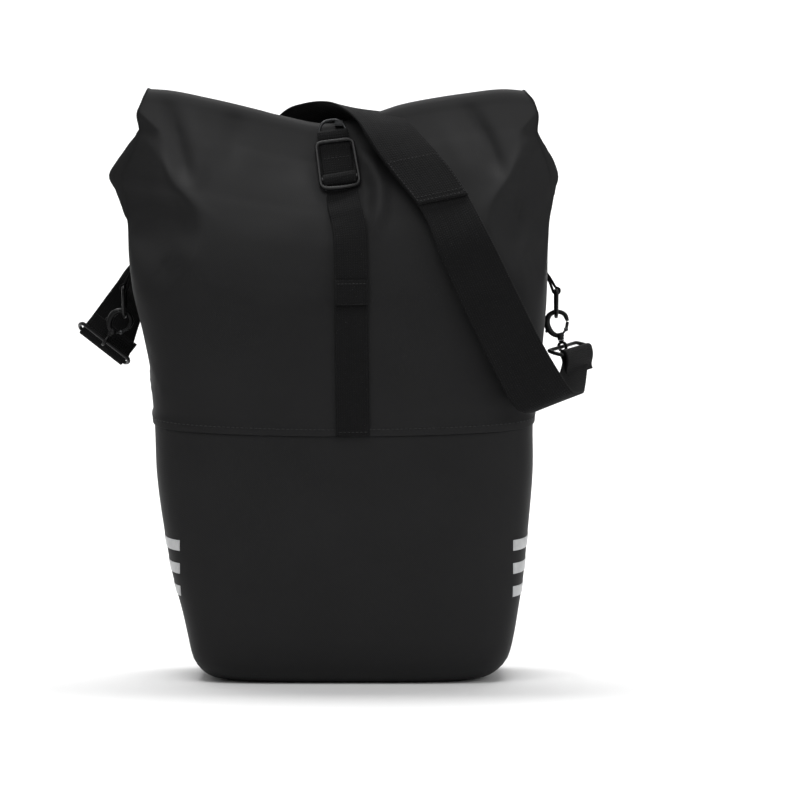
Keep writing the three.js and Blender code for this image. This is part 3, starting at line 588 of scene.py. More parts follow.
def settle_cloth(body, heights):
    """Let the upper fabric settle, held at the seam, at the roll and along its back.

    A coarse copy of the grid is simulated, and its small, capped movement is given back to
    every row and column.
    """
    rows = np.unique(np.append(np.arange(0, len(body), 2), len(body) - 1))
    columns = np.arange(0, body.shape[1], 2)
    coarse = body[rows][:, columns]
    mesh = bpy.data.meshes.new("settling")
    mesh.from_pydata((coarse.reshape(-1, 3) * MM).tolist(), [], grid_faces(
        len(rows), len(columns), close_columns=True))
    cloth = bpy.data.objects.new("settling", mesh)
    bpy.context.scene.collection.objects.link(cloth)
    held = cloth.vertex_groups.new(name="held")
    level = heights[rows][:, None]
    firm = 1 - smoothstep(level, 250, 275) * smoothstep(ROLL_START - level, 5, 75)
    firm = np.maximum(firm, smoothstep(coarse[:, :, 1], 20, 55)).reshape(-1)
    for index, weight in enumerate(firm):
        held.add([index], float(weight), "REPLACE")
    modifier = cloth.modifiers.new("cloth", "CLOTH")
    settings = modifier.settings
    settings.quality = 5
    settings.mass = 0.25
    settings.tension_stiffness = 25
    settings.compression_stiffness = 25
    settings.bending_stiffness = 2
    settings.vertex_group_mass = held.name
    settings.pin_stiffness = 2
    modifier.collision_settings.use_collision = False
    modifier.point_cache.frame_start, modifier.point_cache.frame_end = 1, CLOTH_FRAMES
    for frame_number in range(1, CLOTH_FRAMES + 1):
        bpy.context.scene.frame_set(frame_number)
    settled = cloth.evaluated_get(bpy.context.evaluated_depsgraph_get()).data
    moved = np.empty(coarse.size)
    settled.vertices.foreach_get("co", moved)
    moved = moved.reshape(coarse.shape) / MM - coarse
    bpy.data.objects.remove(cloth)
    bpy.context.scene.frame_set(1)
    size = np.linalg.norm(moved, axis=2, keepdims=True)
    moved = moved * (1 - firm.reshape(size.shape)) * np.tanh(size / CLOTH_CAP) * CLOTH_CAP
    moved = moved / np.maximum(size, 1e-6)
    turn = np.arange(body.shape[1])
    wrapped = np.append(columns, body.shape[1])
    out = np.empty(body.shape)
    for axis in range(3):
        closed = np.concatenate([moved[:, :, axis], moved[:, :1, axis]], 1)
        across = np.array([np.interp(turn, wrapped, row) for row in closed])
        out[:, :, axis] = np.array([
            np.interp(np.arange(len(body)), rows, column) for column in across.T]).T
    print("cloth moved at most", round(float(np.abs(out).max()), 2), "mm")
    return body + out


# ------------------------------------------------------------------ surface queries

def tree_of(grid):
    """A search tree over the quads of a grid whose columns wrap round."""
    rows, columns = grid.shape[:2]
    faces = grid_faces(rows, columns, close_columns=True)
    return BVHTree.FromPolygons([Vector(p) for p in grid.reshape(-1, 3)], faces)


def front_y(tree, x, z, half_width=0):
    """The foremost y of the surface at x and z, over a strap's width."""
    hits = []
    for offset in (-half_width, 0, half_width):
        hit = tree.ray_cast(Vector((x + offset, -300, z)), Vector((0, 1, 0)))[0]
        if hit:
            hits.append(hit.y)
    return min(hits)


def side_x(tree, side, y, z, half_width):
    """The outermost x of the surface on one side at y and z, over a tab's width."""
    hits = []
    for offset in (-half_width, 0, half_width):
        hit = tree.ray_cast(Vector((side * 400, y + offset, z)), Vector((-side, 0, 0)))[0]
        if hit:
            hits.append(hit.x)
    return max(hits, key=lambda value: value * side)


# ------------------------------------------------------------------ webbing and stitches

def pair_curve(pairs, count):
    """Both edges of a strap, sampled together from pairs of edge points."""
    flat = np.array([[*a, *b] for a, b in pairs], float)
    curve = catmull(flat, count)
    return curve[:, :3], curve[:, 3:]


def strap_normals(left, right):
    """The direction out of the strap's outer side, at each pair of edge points."""
    tangent = unit(np.gradient((left + right) / 2, axis=0))
    return unit(np.cross(tangent, right - left))


def webbing_solid(left, right, thickness):
    """A strap between two edge curves, with rounded selvedges, and its UVs in metres."""
    across = np.array([0, 0.012, 0.03, 0.055, *np.linspace(0.1, 0.9, 13), 0.945, 0.97, 0.988, 1])
    bulge = np.clip(1 - (1 - np.clip(np.minimum(across, 1 - across) / 0.03, 0, 1)) ** 2, 0, 1)
    bulge = 0.25 + 0.75 * np.sqrt(bulge)
    width_vector = right - left
    top = left[:, None] + width_vector[:, None] * across[None, :, None]
    lift = strap_normals(left, right)[:, None] * (bulge * thickness / 2)[None, :, None]
    rings = np.concatenate([top + lift, (top - lift)[:, ::-1]], 1)
    points, faces = solid_from_rings(rings)
    length = lengths_along((left + right) / 2)
    width = np.linalg.norm(width_vector, axis=1).mean()
    sides = np.concatenate([across, across[::-1]]) * width
    uv = np.stack(np.broadcast_arrays(sides[None, :], length[:, None]), -1).reshape(-1, 2) * MM
    return points, faces, uv


def strap(name, left, right, material, thickness=WEBBING, body="root", replaces=()):
    points, faces, uv = webbing_solid(left, right, thickness)
    piece = make_object(name, points, faces, material, body, "webbing", uv, replaces)
    return piece


def edges_of(centres, across, width):
    """Edge curves from a centre line and the direction across it."""
    across = unit(np.broadcast_to(np.asarray(across, float), centres.shape))
    return centres - across * width / 2, centres + across * width / 2


def merge(*parts):
    """Several solids as one list of points and one of faces."""
    points, faces, start = [], [], 0
    for part_points, part_faces in parts:
        points.append(np.asarray(part_points, float))
        faces.extend(tuple(index + start for index in face) for face in part_faces)
        start += len(part_points)
    return np.vstack(points), faces


def stitch(start, end, normal, radius=0.38):
    """One stitch of thread: a short bead that bends into the fabric at both ends."""
    along = end - start
    centres = [start + along * t + normal * (math.sin(math.pi * t) * 0.8 - 0.35) * radius
               for t in (0, 0.12, 0.35, 0.65, 0.88, 1)]
    tangent = unit(along)
    side = np.cross(normal, tangent)
    rings = []
    for centre, size in zip(centres, (0.35, 0.8, 1, 1, 0.8, 0.35)):
        rings.append([centre + radius * size * (math.cos(a) * side * 1.15 + math.sin(a) * normal)
                      for a in np.linspace(0, 2 * math.pi, 7)[:-1]])
    return solid_from_rings(np.array(rings))


def stitch_row(path, normals, length=3.0, gap=1.1, radius=0.38):
    """Stitches along a path of points with a normal at each."""
    path = np.asarray(path, float)
    steps = lengths_along(path)
    count = max(1, int(steps[-1] // (length + gap)))
    parts = []
    for i in range(count):
        middle = (i + 0.5) * steps[-1] / count
        start = columns_at(middle - length / 2, steps, path)
        end = columns_at(middle + length / 2, steps, path)
        normal = unit(columns_at(middle, steps, normals))
        parts.append(stitch(start, end, normal, radius))
    return parts


def strap_stitches(left, right, thickness, rows, side=1):
    """Rows of stitches on a strap, each from (share across, index) to (share across, index)."""
    normal = strap_normals(left, right) * side
    parts = []
    for (share_a, index_a), (share_b, index_b) in rows:
        count = 12
        shares = np.linspace(share_a, share_b, count)
        indices = np.linspace(index_a, index_b, count)
        path, normals = [], []
        for share, index in zip(shares, indices):
            low = int(min(index, len(left) - 2))
            blend = index - low
            a = left[low] * (1 - blend) + left[low + 1] * blend
            b = right[low] * (1 - blend) + right[low + 1] * blend
            path.append(a + (b - a) * share + normal[low] * thickness / 2)
            normals.append(normal[low])
        parts += stitch_row(path, np.array(normals), 2.4, 0.9, 0.32)
    return parts


# ------------------------------------------------------------------ front strap and buckle

# Middle of the front strap as (height, x)
STRAP_LINE = np.array([
    (220, 7.4), (358, 5.4), (403, 4.4), (416, 2.8), (430, -0.6), (445, -4.2), (458, -6.5)])
BUCKLE = (-6.5, -40, 458)
LEAN = math.radians(27)
TILT = math.radians(8)
BUCKLE_SHIFT = 1.2
FRONT_REACH = 11
TAIL_END = 347
TAIL_SHIFT = 0.6


def lean_to_world(points):
    """From the buckle's leaning, tilted frame (x across, y into the bag, z up the lean)."""
    points = np.asarray(points, float)
    y = points[..., 1]
    x = points[..., 0] * math.cos(TILT) - points[..., 2] * math.sin(TILT)
    z = points[..., 0] * math.sin(TILT) + points[..., 2] * math.cos(TILT)
    return np.stack([
        BUCKLE[0] + BUCKLE_SHIFT + x,
        BUCKLE[1] + y * math.cos(LEAN) + z * math.sin(LEAN),
        BUCKLE[2] - y * math.sin(LEAN) + z * math.cos(LEAN),
    ], -1)


def front_strap_x(z):
    """The middle of the front strap, which swerves to the buckle in its upper part."""
    return float(monotone(np.array([z]), STRAP_LINE[:, 0], STRAP_LINE[:, 1])[0])


def across_strap(path):
    """The direction across the front strap at each point of its path."""
    x_at = np.vectorize(front_strap_x)
    z = np.clip(path[:, 2], STRAP_LINE[0, 0] + 1, BUCKLE[2] - 1)
    slope = (x_at(z + 1) - x_at(z - 1)) / 2
    return np.stack([np.ones(len(path)), np.zeros(len(path)), -slope], 1)


def lie_on_front(tree, heights, shift, gap):
    """The front strap's middle line where it lies on the bag at a distance from it."""
    line = []
    for z in heights:
        x = front_strap_x(z)
        line.append((x + shift, front_y(tree, x, z, FRONT_REACH) - gap, z))
    return line


def build_front_strap(tree, webbing, thread):
    """The front strap: up from the seam, round the buckle's bar and down to its sewn tail."""
    lay = WEBBING / 2 + 0.5
    step = WEBBING + 0.25
    up = lie_on_front(tree, np.linspace(226, 434, 27), 0, lay)
    loop = lean_to_world([
        (0, 4.6, -15), (0, 4.6, -8), (0, 4.2, -1), (0, 3.2, 3.2), (0, 0.2, 4.4), (0, -2.6, 2.4),
        (0, -3.0, -1.5), (0, -1.6, -4.6), (0, 1.4, -6.6), (0, 2.7, -9.5), (0, 2.6, -14)])
    down = lie_on_front(tree, np.linspace(430, TAIL_END, 12), TAIL_SHIFT, lay + step)
    path = catmull(up + [tuple(p) for p in loop] + down, 230)
    left, right = edges_of(path, across_strap(path), FRONT_STRAP_WIDTH)
    piece = strap("front_strap_webbing", left, right, webbing, body=None,
                  replaces=("front_strap", "strap_tail", "strap_tail_hem"))
    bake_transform(piece)

    hem = lie_on_front(tree, np.linspace(TAIL_END - 0.8, 366, 8), TAIL_SHIFT, lay + 2 * step)
    fold = (front_strap_x(TAIL_END - 1) + TAIL_SHIFT, hem[0][1] + step * 0.5, TAIL_END - 2.1)
    hem = catmull([fold] + hem, 24)
    hem_left, hem_right = edges_of(hem, across_strap(hem), FRONT_STRAP_WIDTH - 0.6)
    strap("strap_tail_fold", hem_left, hem_right, webbing)
    hem_row = ((0.05, 19.5), (0.95, 19.5))
    parts = strap_stitches(hem_left, hem_right, WEBBING, (hem_row,), side=-1)
    foot = np.array(up[:4])
    foot_left, foot_right = edges_of(foot, across_strap(foot), FRONT_STRAP_WIDTH)
    foot_row = ((0.06, 0.45), (0.94, 0.45))
    parts += strap_stitches(foot_left, foot_right, WEBBING, (foot_row,), side=-1)
    make_object("front_strap_stitches", *merge(*parts), thread, slot="webbing")


def bar_section(width, depth, sides=16, power=3.2):
    """A rounded bar section: depth along the normal, width along the binormal."""
    angle = np.linspace(0, 2 * np.pi, sides, endpoint=False)
    c, s = np.cos(angle), np.sin(angle)
    reach = (np.abs(c) ** power + np.abs(s) ** power) ** (-1 / power)
    return np.stack([reach * c * depth / 2, reach * s * width / 2], 1)


def build_buckle(black_metal, steel, webbing, thread):
    """The slider frame with its bar, the wire ring and the doubled webbing between them."""
    outline = [
        (-16.9, 0, 30), (-17.2, 0, 15), (-17.6, 0, 0), (-16.9, -0.4, -6), (-13.5, -1.2, -9.3),
        (-7, -1.9, -10.6), (0, -2.1, -11), (7, -1.9, -10.6), (13.5, -1.2, -9.3), (16.9, -0.4, -6),
        (17.6, 0, 0), (17.2, 0, 15), (16.9, 0, 30), (16.4, 0, 35.4), (12.8, 0, 37.9),
        (6, 0, 38.1), (0, 0, 38.1), (-6, 0, 38.1), (-12.8, 0, 37.9), (-16.4, 0, 35.4)]
    centres = catmull(outline, 150, closed=True)
    frame_rings = sweep(centres, bar_section(3.5, 3.2), closed=True, start_normal=(0, 1, 0))
    frame_part = solid_from_rings(lean_to_world(frame_rings), closed=True)
    bar = catmull([(-17, 0, 0), (-15.5, 0, 0), (0, 0, 0.1), (15.5, 0, 0), (17, 0, 0)], 40)
    bar_part = solid_from_rings(lean_to_world(
        sweep(bar, bar_section(4, 2.6), start_normal=(0, 1, 0))))
    make_object("buckle_body", *merge(frame_part, bar_part), black_metal, "buckle",
                "black_metal", replaces=("buckle_frame",))

    ring = [(-11.8, 3, 46.6), (0, 3, 46.6), (11.8, 3, 46.6), (12.6, 3, 49), (9.8, 3, 57),
            (5.5, 3, 60.6), (0, 3, 61.2), (-5.5, 3, 60.6), (-9.8, 3, 57), (-12.6, 3, 49)]
    wire = lean_to_world(catmull(ring, 90, closed=True))
    make_object("buckle_wire_ring", *wire_loop(wire, 1.5, 12), steel, "buckle", "steel",
                replaces=("buckle_ring",))

    loop = catmull([
        (0, 2.9, 3.8), (0, 2.7, 12), (0, 2.5, 25), (0, 1.6, 38), (0, 0.4, 44), (0, 0.3, 48),
        (0, 2.0, 49.9), (0, 4.4, 49.6), (0, 5.7, 47), (0, 5.2, 43), (0, 5.0, 33), (0, 5.2, 18)], 90)
    across = lean_to_world(np.array([(0, 0, 0), (1, 0, 0)]))
    path = lean_to_world(loop)
    left, right = edges_of(path, across[1] - across[0], LOOP_WIDTH)
    strap("buckle_loop_webbing", left, right, webbing, THIN_WEBBING, "buckle",
          ("buckle_webbing",))
    seam = int(np.argmin(np.abs(loop[:30, 2] - 22)))
    rows = (((0.06, seam), (0.94, seam)),)
    parts = strap_stitches(left, right, THIN_WEBBING, rows, side=-1)
    make_object("buckle_loop_stitches", *merge(*parts), thread, "buckle", "webbing")


def build_catch_strap(webbing):
    """The short strap from the back over the roll, which carries the catch hook."""
    route = ((82.5, 418), (81, 432), (74, 456), (58, 480), (42, 497), (33, 508), (23, 510.9),
             (13, 510.9), (4, 510.9))
    centres = catmull([(BUCKLE[0] - 2.5, y, z) for y, z in route], 90)
    left, right = edges_of(centres, (1, 0, 0), CATCH_WIDTH)
    strap("catch_strap_webbing", left, right, webbing, THIN_WEBBING, replaces=("catch_strap",))


# ------------------------------------------------------------------ side clips

CLIPS = {
    "left": {"at": (-203.5, -5, 358), "side": -1, "drop": 27, "tilt": 38, "turn": 0,
             "ring_side": 1},
    "right": {"at": (193, -2, 355), "side": 1, "drop": 24, "tilt": -12, "turn": 58,
              "ring_side": -1},
}
HOOK_WIRE = 2.1
GATE_PIN = (6.4, -17.6)
SEAT = WIRE_RADIUS + HOOK_WIRE + 0.4
EYE_Z = -32.5
RING_HALF_LENGTH = 28
RING_DEPTH = 13


def turn_about_z(points, degrees):
    a = math.radians(degrees)
    x, y = points[..., 0], points[..., 1]
    return np.stack([x * math.cos(a) - y * math.sin(a), x * math.sin(a) + y * math.cos(a),
                     points[..., 2]], -1)


def hook_to_world(points, clip, spin=False):
    """From the hanging hook's frame, or with spin from its swivel's, to the bag's."""
    points = np.asarray(points, float)
    if spin:
        points = turn_about_z(points, clip["turn"])
    tilt = math.radians(clip["tilt"])
    x, y, z = clip["at"]
    px, pz = points[..., 0], points[..., 2]
    return np.stack([
        x + SEAT * math.sin(tilt) + px * math.cos(tilt) + pz * math.sin(tilt),
        y + points[..., 1],
        z - clip["drop"] + SEAT * math.cos(tilt) - px * math.sin(tilt) + pz * math.cos(tilt),
    ], -1)


def lathe(profile, sides=24):
    """A solid turned about the Z axis from (radius, z) pairs that start and end on it."""
    angle = np.linspace(0, 2 * np.pi, sides, endpoint=False)
    rings = [np.stack([r * np.cos(angle), r * np.sin(angle), np.full(sides, z)], 1)
             for r, z in profile]
    return solid_from_rings(np.array(rings))


def tapered_wire(points, radius, count, taper=(1, 1), sides=14, swell=0):
    """A round rod along a curve, with thinner ends and a swelling in its first two thirds."""
    centres = catmull(points, count)
    rings = sweep(centres, circle(1, sides), start_normal=(0, 1, 0))
    share = np.linspace(0, 1, count)
    size = radius * np.minimum(1, np.minimum(
        taper[0] + (1 - taper[0]) * share * 12, taper[1] + (1 - taper[1]) * (1 - share) * 12))
    size = size * (1 + swell * np.sin(np.pi * np.minimum(share / 0.68, 1)) ** 2)
    rings = centres[:, None] + (rings - centres[:, None]) * size[:, None, None]
    return solid_from_rings(rings)


def build_tab(name, clip, tree, webbing, thread):
    """A short webbing loop round the D-ring's bar, sewn to the side of the bag."""
    x, y, z = clip["at"]
    side = clip["side"]
    lift = WEBBING / 2 + 0.3
    reach = WIRE_RADIUS + 1.25

    def skin_line(height, layer):
        out = side_x(tree, side, y, z + height, 8)
        return out + side * (lift + layer * (WEBBING + 0.2))

    # between its seam and the ring's bar both layers lie together
    seam = np.array([skin_line(17, 0.5), z + 17])
    run = np.array([x, z]) - seam
    apart = unit(np.array([-run[1], run[0]])) * 1.15
    apart = apart * side * np.sign(apart[0])
    together = [seam + run * share for share in (0.3, 0.55)]
    outer = [(skin_line(height, 1), z + height) for height in (40, 34, 28, 22, 17)]
    outer += [tuple(point + apart) for point in together]
    bar = [(x + side * reach * math.cos(a), z + reach * math.sin(a))
           for a in np.radians((100, 45, 0, -45, -90, -135, -170))]
    inner = [tuple(point - apart) for point in together[::-1]]
    inner += [(skin_line(height, 0), z + height) for height in (17, 22, 28)]
    route = outer + bar + inner
    centres = catmull([(px, y, pz) for px, pz in route], 90)
    left, right = edges_of(centres, (0, 1, 0), TAB_WIDTH)
    strap(f"{name}_tab_webbing", left, right, webbing, THIN_WEBBING, replaces=(f"{name}_tab",))
    box_and_cross = (((0.08, 4), (0.92, 4)), ((0.08, 17), (0.92, 17)), ((0.08, 4), (0.92, 17)),
                     ((0.92, 4), (0.08, 17)))
    parts = strap_stitches(left, right, THIN_WEBBING, box_and_cross, -side)
    make_object(f"{name}_tab_stitches", *merge(*parts), thread, slot="webbing")


def build_clip(name, clip, black_metal, steel):
    """The D-ring, snap hook, gate, swivel and strap ring that hang from one tab."""
    x, y, z = clip["at"]
    d = clip["drop"]
    body = f"{name}_clip"

    def hang(piece, node, parts, material=black_metal, slot="black_metal", on=body, spin=False):
        placed = [(hook_to_world(points, clip, spin), faces) for points, faces in parts]
        make_object(f"{name}_{piece}", *merge(*placed), material, on, slot,
                    replaces=(f"{name}_{node}",))

    outline = [(-11, 0), (0, 0), (11, 0), (13.2, -0.12 * d), (13, -0.4 * d), (9.2, -0.82 * d),
               (4.5, -0.97 * d), (0, -d), (-4.5, -0.97 * d), (-9.2, -0.82 * d), (-13, -0.4 * d),
               (-13.2, -0.12 * d)]
    ring = catmull([(x, y + py, z + pz) for py, pz in outline], 96, closed=True)
    make_object(f"{name}_ring_d", *wire_loop(ring, WIRE_RADIUS), black_metal, body,
                "black_metal", replaces=(f"{name}_d_ring",))

    jaw = [(0, -22), (-4, -20.8), (-7.6, -17), (-9.6, -11), (-8.8, -5.6), (-5.4, -1.4), (0, 0.2),
           (5.2, -1.4), (8.4, -4.8), (9.4, -10.4)]
    jaw_part = tapered_wire([(px, 0, pz) for px, pz in jaw], HOOK_WIRE, 70, (1, 0.75),
                            swell=0.45)
    lug = tapered_wire([(-0.5, 0, -21.6), (1.8, 0, -21.4), (3.2, 0, -20.9)], 1.9, 12, (1, 0.9))
    cheeks = [
        tapered_wire([(2.4, 0.3 * turn, -21.2), (3.4, 2.2 * turn, -20.4), (4.8, 3.3 * turn, -19),
                      (6.6, 3.3 * turn, -17.4)], 0.8, 16, (1, 0.9)) for turn in (-1, 1)]
    thumb = tapered_wire([(-9.4, 0, -12), (-11.2, 0, -14.6), (-11.6, 0, -17)], 1.2, 14, (1, 0.6))
    barrel = lathe([(0, -26.2), (2.5, -26.2), (3.0, -25.8), (3.1, -24.6), (2.8, -24.2),
                    (3.3, -23.6), (3.7, -22.2), (3.6, -20.6), (2.9, -19.6), (0, -19.4)])
    hang("hook_body", "snap_hook", (jaw_part, lug, *cheeks, thumb, barrel))

    gate = tapered_wire([(GATE_PIN[0], 0, GATE_PIN[1]), (7.4, 0, -15.6), (8.4, 0, -13.2),
                         (9.3, 0, -11.0)], 1.5, 24, (1, 0.7))
    boss, boss_faces = lathe([(0, -2.3), (1.6, -2.3), (2.0, -1.9), (2.0, 1.9), (1.6, 2.3),
                              (0, 2.3)], 18)
    boss = np.stack([boss[:, 0] + GATE_PIN[0], boss[:, 2], boss[:, 1] + GATE_PIN[1]], 1)
    hang("gate_lever", "snap_gate", (gate, (boss, outward(boss, boss_faces))), steel, "steel",
         f"{name}_gate")

    stem = lathe([(0, -29.4), (1.7, -29.4), (1.7, -27.6), (2.6, -27.4), (2.8, -26.9), (2.4, -26.45),
                  (0, -26.45)])
    angle = np.linspace(0, 2 * np.pi, 40, endpoint=False)
    eye_line = np.stack([0 * angle, 4 * np.cos(angle), EYE_Z + 4 * np.sin(angle)], 1)
    hang("swivel", "swivel_eye", (stem, wire_loop(eye_line, 1.4, 12)), spin=True)

    far, long = clip["ring_side"] * RING_DEPTH, RING_HALF_LENGTH
    loop = [(-long + 4, 0, 0), (-9, 0, 0), (0, 0, 0), (9, 0, 0), (long - 4, 0, 0),
            (long - 1.2, 0.15 * far, -0.9), (long, far / 2, -3), (long - 1.2, 0.85 * far, -5.1),
            (long - 4, far, -6), (9, far, -6), (0, far, -6), (-9, far, -6), (-long + 4, far, -6),
            (-long + 1.2, 0.85 * far, -5.1), (-long, far / 2, -3),
            (-long + 1.2, 0.15 * far, -0.9)]
    wire = catmull([(px, py, pz + EYE_Z) for px, py, pz in loop], 150, closed=True)
    wire = hook_to_world(wire, clip, spin=True)
    make_object(f"{name}_strap_ring", *wire_loop(wire, WIRE_RADIUS), black_metal, body,
                "black_metal", replaces=(f"{name}_wire_ring",))


# ------------------------------------------------------------------ shoulder strap

# Both edges of the shoulder strap, without the turns round the rings
STRAP_BACK = (
    ((-227, 11, 341), (-189, 14, 311)),
    ((-214, 27, 360), (-190.5, 42, 329)),
    ((-199, 52, 381), (-181, 63, 341)),
    ((-160, 82, 415), (-124, 88, 383)),
    ((-121, 88, 451), (-83, 87, 419)),
    ((-86, 71, 490), (-48, 74, 458)),
    ((-60, 47, 519), (-23, 53, 487)),
    ((-40, 27, 527), (-2, 45, 501)),
    ((-18, 8, 528), (20, 36, 513)),
    ((-2, -12, 521), (40, 14, 518)),
    ((11, -27, 509.5), (55, -13, 511)),
)
STRAP_FRONT = (
    ((12, -28.5, 508), (55.8, -14, 510)),
    ((24, -43, 487), (68, -29, 496)),
    ((43, -57, 461), (86, -46, 477)),
    ((70, -75, 426), (107, -62, 449)),
    ((87, -91, 385), (128, -84, 410)),
    ((110, -95, 334), (153, -88, 359)),
    ((131, -97, 291), (174, -86, 316)),
    ((149, -96, 257), (190.5, -85, 287)),
    ((161, -89, 247), (204.5, -79, 267)),
    ((176, -72, 251), (215, -56, 264)),
    ((187, -54, 263), (219, -24, 269)),
    ((191, -41, 277), (219.5, 2, 278)),
)
# How far the back length lies over the front one, along its left and its right edge
OVERLAP = (102, 119)


def ring_wrap(clip, approach):
    """Pairs of edge points that turn round the far wire of a strap ring and fold back.

    approach is 1 where the strap comes from above and -1 where it comes from below.
    """
    far = clip["ring_side"] * RING_DEPTH
    outside = clip["ring_side"] * approach
    reach = WIRE_RADIUS + WEBBING / 2 + 0.15
    wire_z = EYE_Z - 6
    half = STRAP_WIDTH / 2 - 0.5
    section = [(far + outside * reach, wire_z + approach * 9),
               (far + outside * reach, wire_z)]
    for degrees in (45, 90, 135, 180):
        a = math.radians(degrees)
        section.append((far + outside * reach * math.cos(a),
                        wire_z - approach * reach * math.sin(a)))
    section += [(far + outside * (0.4 - reach), wire_z + approach * 7),
                (far + outside * 0.8, wire_z + approach * 15),
                (far + outside * 0.9, wire_z + approach * 20)]
    pairs = []
    for py, pz in section:
        ends = hook_to_world(np.array([(-half, py, pz), (half, py, pz)]), clip, True)
        pairs.append((tuple(ends[0]), tuple(ends[1])))
    return pairs


def build_shoulder_strap(webbing, thread):
    """The shoulder strap in two lengths that are sewn together on the front."""
    step = WEBBING + 0.3
    left_wrap = ring_wrap(CLIPS["left"], 1)[::-1]
    # the back strap runs on as a doubled layer over the start of the front strap
    front_left, front_right = pair_curve(STRAP_FRONT, 200)
    outside = strap_normals(front_left, front_right)
    if outside[10][1] > 0:
        outside = -outside
    length = lengths_along(front_left)
    overlap = []
    for share in (0.16, 0.36, 0.56, 0.78, 1):
        i = int(np.searchsorted(length, OVERLAP[0] * share))
        j = int(np.searchsorted(length, OVERLAP[1] * share))
        overlap.append((tuple(front_left[i] + outside[i] * step),
                        tuple(front_right[j] + outside[j] * step)))
    left, right = pair_curve(left_wrap + list(STRAP_BACK[1:]) + overlap, 420)
    piece = strap("shoulder_strap_left", left, right, webbing, body=None,
                  replaces=("shoulder_strap_back", "strap_left_end"))
    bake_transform(piece)
    ends = strap_stitches(left, right, WEBBING, (
        ((0.05, 417), (0.95, 417)), ((0.05, 413.5), (0.95, 413.5)),
        ((0.05, 381), (0.95, 381)), ((0.04, 381), (0.04, 417)), ((0.96, 381), (0.96, 417))), 1)
    make_object("shoulder_strap_stitches", *merge(*ends), thread, slot="webbing")

    right_wrap = ring_wrap(CLIPS["right"], -1)
    left, right = pair_curve(list(STRAP_FRONT[:-1]) + right_wrap, 420)
    piece = strap("shoulder_strap_right", left, right, webbing, body=None,
                  replaces=("shoulder_strap_front", "strap_right_end"))
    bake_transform(piece)


# ------------------------------------------------------------------ strips, handle, seam

# Lower edges of the strips, how far out their cut ends lie, and the thickness over their width
STRIP_BASES = (122, 100.5, 79)
STRIP_END = {-1: 149, 1: 151}
STRIP_ROWS = np.array([0, 0.12, 0.5, 1, 2.5, 5, 7.5, 9, 9.5, 9.88, 10])
STRIP_BULGE = np.array([0.05, 0.3, 0.42, 0.45, 0.45, 0.45, 0.45, 0.45, 0.42, 0.3, 0.05])


def strip_row(side, height):
    """One row of a strip's points, from an upright cut end in front round to the side."""
    turn = np.radians(np.linspace(70, -14, 200))
    angle = -turn if side > 0 else np.pi + turn
    line = skin(angle, [height])[0]
    known = np.arange(len(turn))
    start = np.interp(STRIP_END[side], side * line[:, 0], known)
    return columns_at(np.linspace(start, known[-1], 40), known, line)


def build_reflective_strips(tree, reflective):
    """Three thin strips on each side, laid on the lower shell."""
    for name, side in (("left", -1), ("right", 1)):
        for index, base in enumerate(STRIP_BASES):
            grid = np.array([strip_row(side, base + row) for row in STRIP_ROWS])
            outer, inner = np.zeros_like(grid), np.zeros_like(grid)
            for i in range(grid.shape[0]):
                for j in range(grid.shape[1]):
                    place, normal = tree.find_nearest(Vector(grid[i, j]))[:2]
                    normal = np.array(normal)
                    if normal @ (grid[i, j] - np.array((0, 0, grid[i, j][2]))) < 0:
                        normal = -normal
                    ends = min(j, grid.shape[1] - 1 - j)
                    swell = STRIP_BULGE[i] * min(1, 0.3 + 0.35 * ends)
                    outer[i, j] = np.array(place) + normal * (0.12 + swell)
                    inner[i, j] = np.array(place) + normal * 0.1
            rings = np.concatenate([outer.transpose(1, 0, 2), inner.transpose(1, 0, 2)[:, ::-1]], 1)
            make_object(f"reflective_band_{name}_{index + 1}", *solid_from_rings(rings),
                        reflective, slot="reflective",
                        replaces=(f"reflective_strip_{name}_{index + 1}",))


def build_seam_stitches(body, heights, thread):
    """One row of stitches all round the hem of the upper body."""
    row = int(np.argmin(np.abs(heights - 240)))
    normals = grid_normals(body)[row]
    path = np.vstack([body[row], body[row][:1]])
    normals = np.vstack([normals, normals[:1]])
    make_object("seam_stitches", *merge(*stitch_row(path, normals, 3.1, 1.0, 0.4)), thread,
                slot="coated_fabric")


def build_handle(webbing, thread):
    """The carry handle between its two anchors on the top rail."""
    x, top = 98.8, 443
    half = ((x, 398.3), (x - 0.2, 404), (x - 1, 416), (x - 9, 432), (x - 30, top - 2))
    route = list(half) + [(0, top)] + [(-px, pz) for px, pz in half[::-1]]
    centres = catmull([(px, 103, pz) for px, pz in route], 160)
    left, right = edges_of(centres, (0, 1, 0), HANDLE_WIDTH)
    strap("carry_handle_webbing", left, right, webbing, HANDLE_WEBBING,
          replaces=("carry_handle",))
    rows = [((0.06, index), (0.94, index)) for index in (6, 12, 147, 153)]
    parts = strap_stitches(left, right, HANDLE_WEBBING, rows, -1)
    make_object("handle_stitches", *merge(*parts), thread, slot="webbing")


# ------------------------------------------------------------------ materials

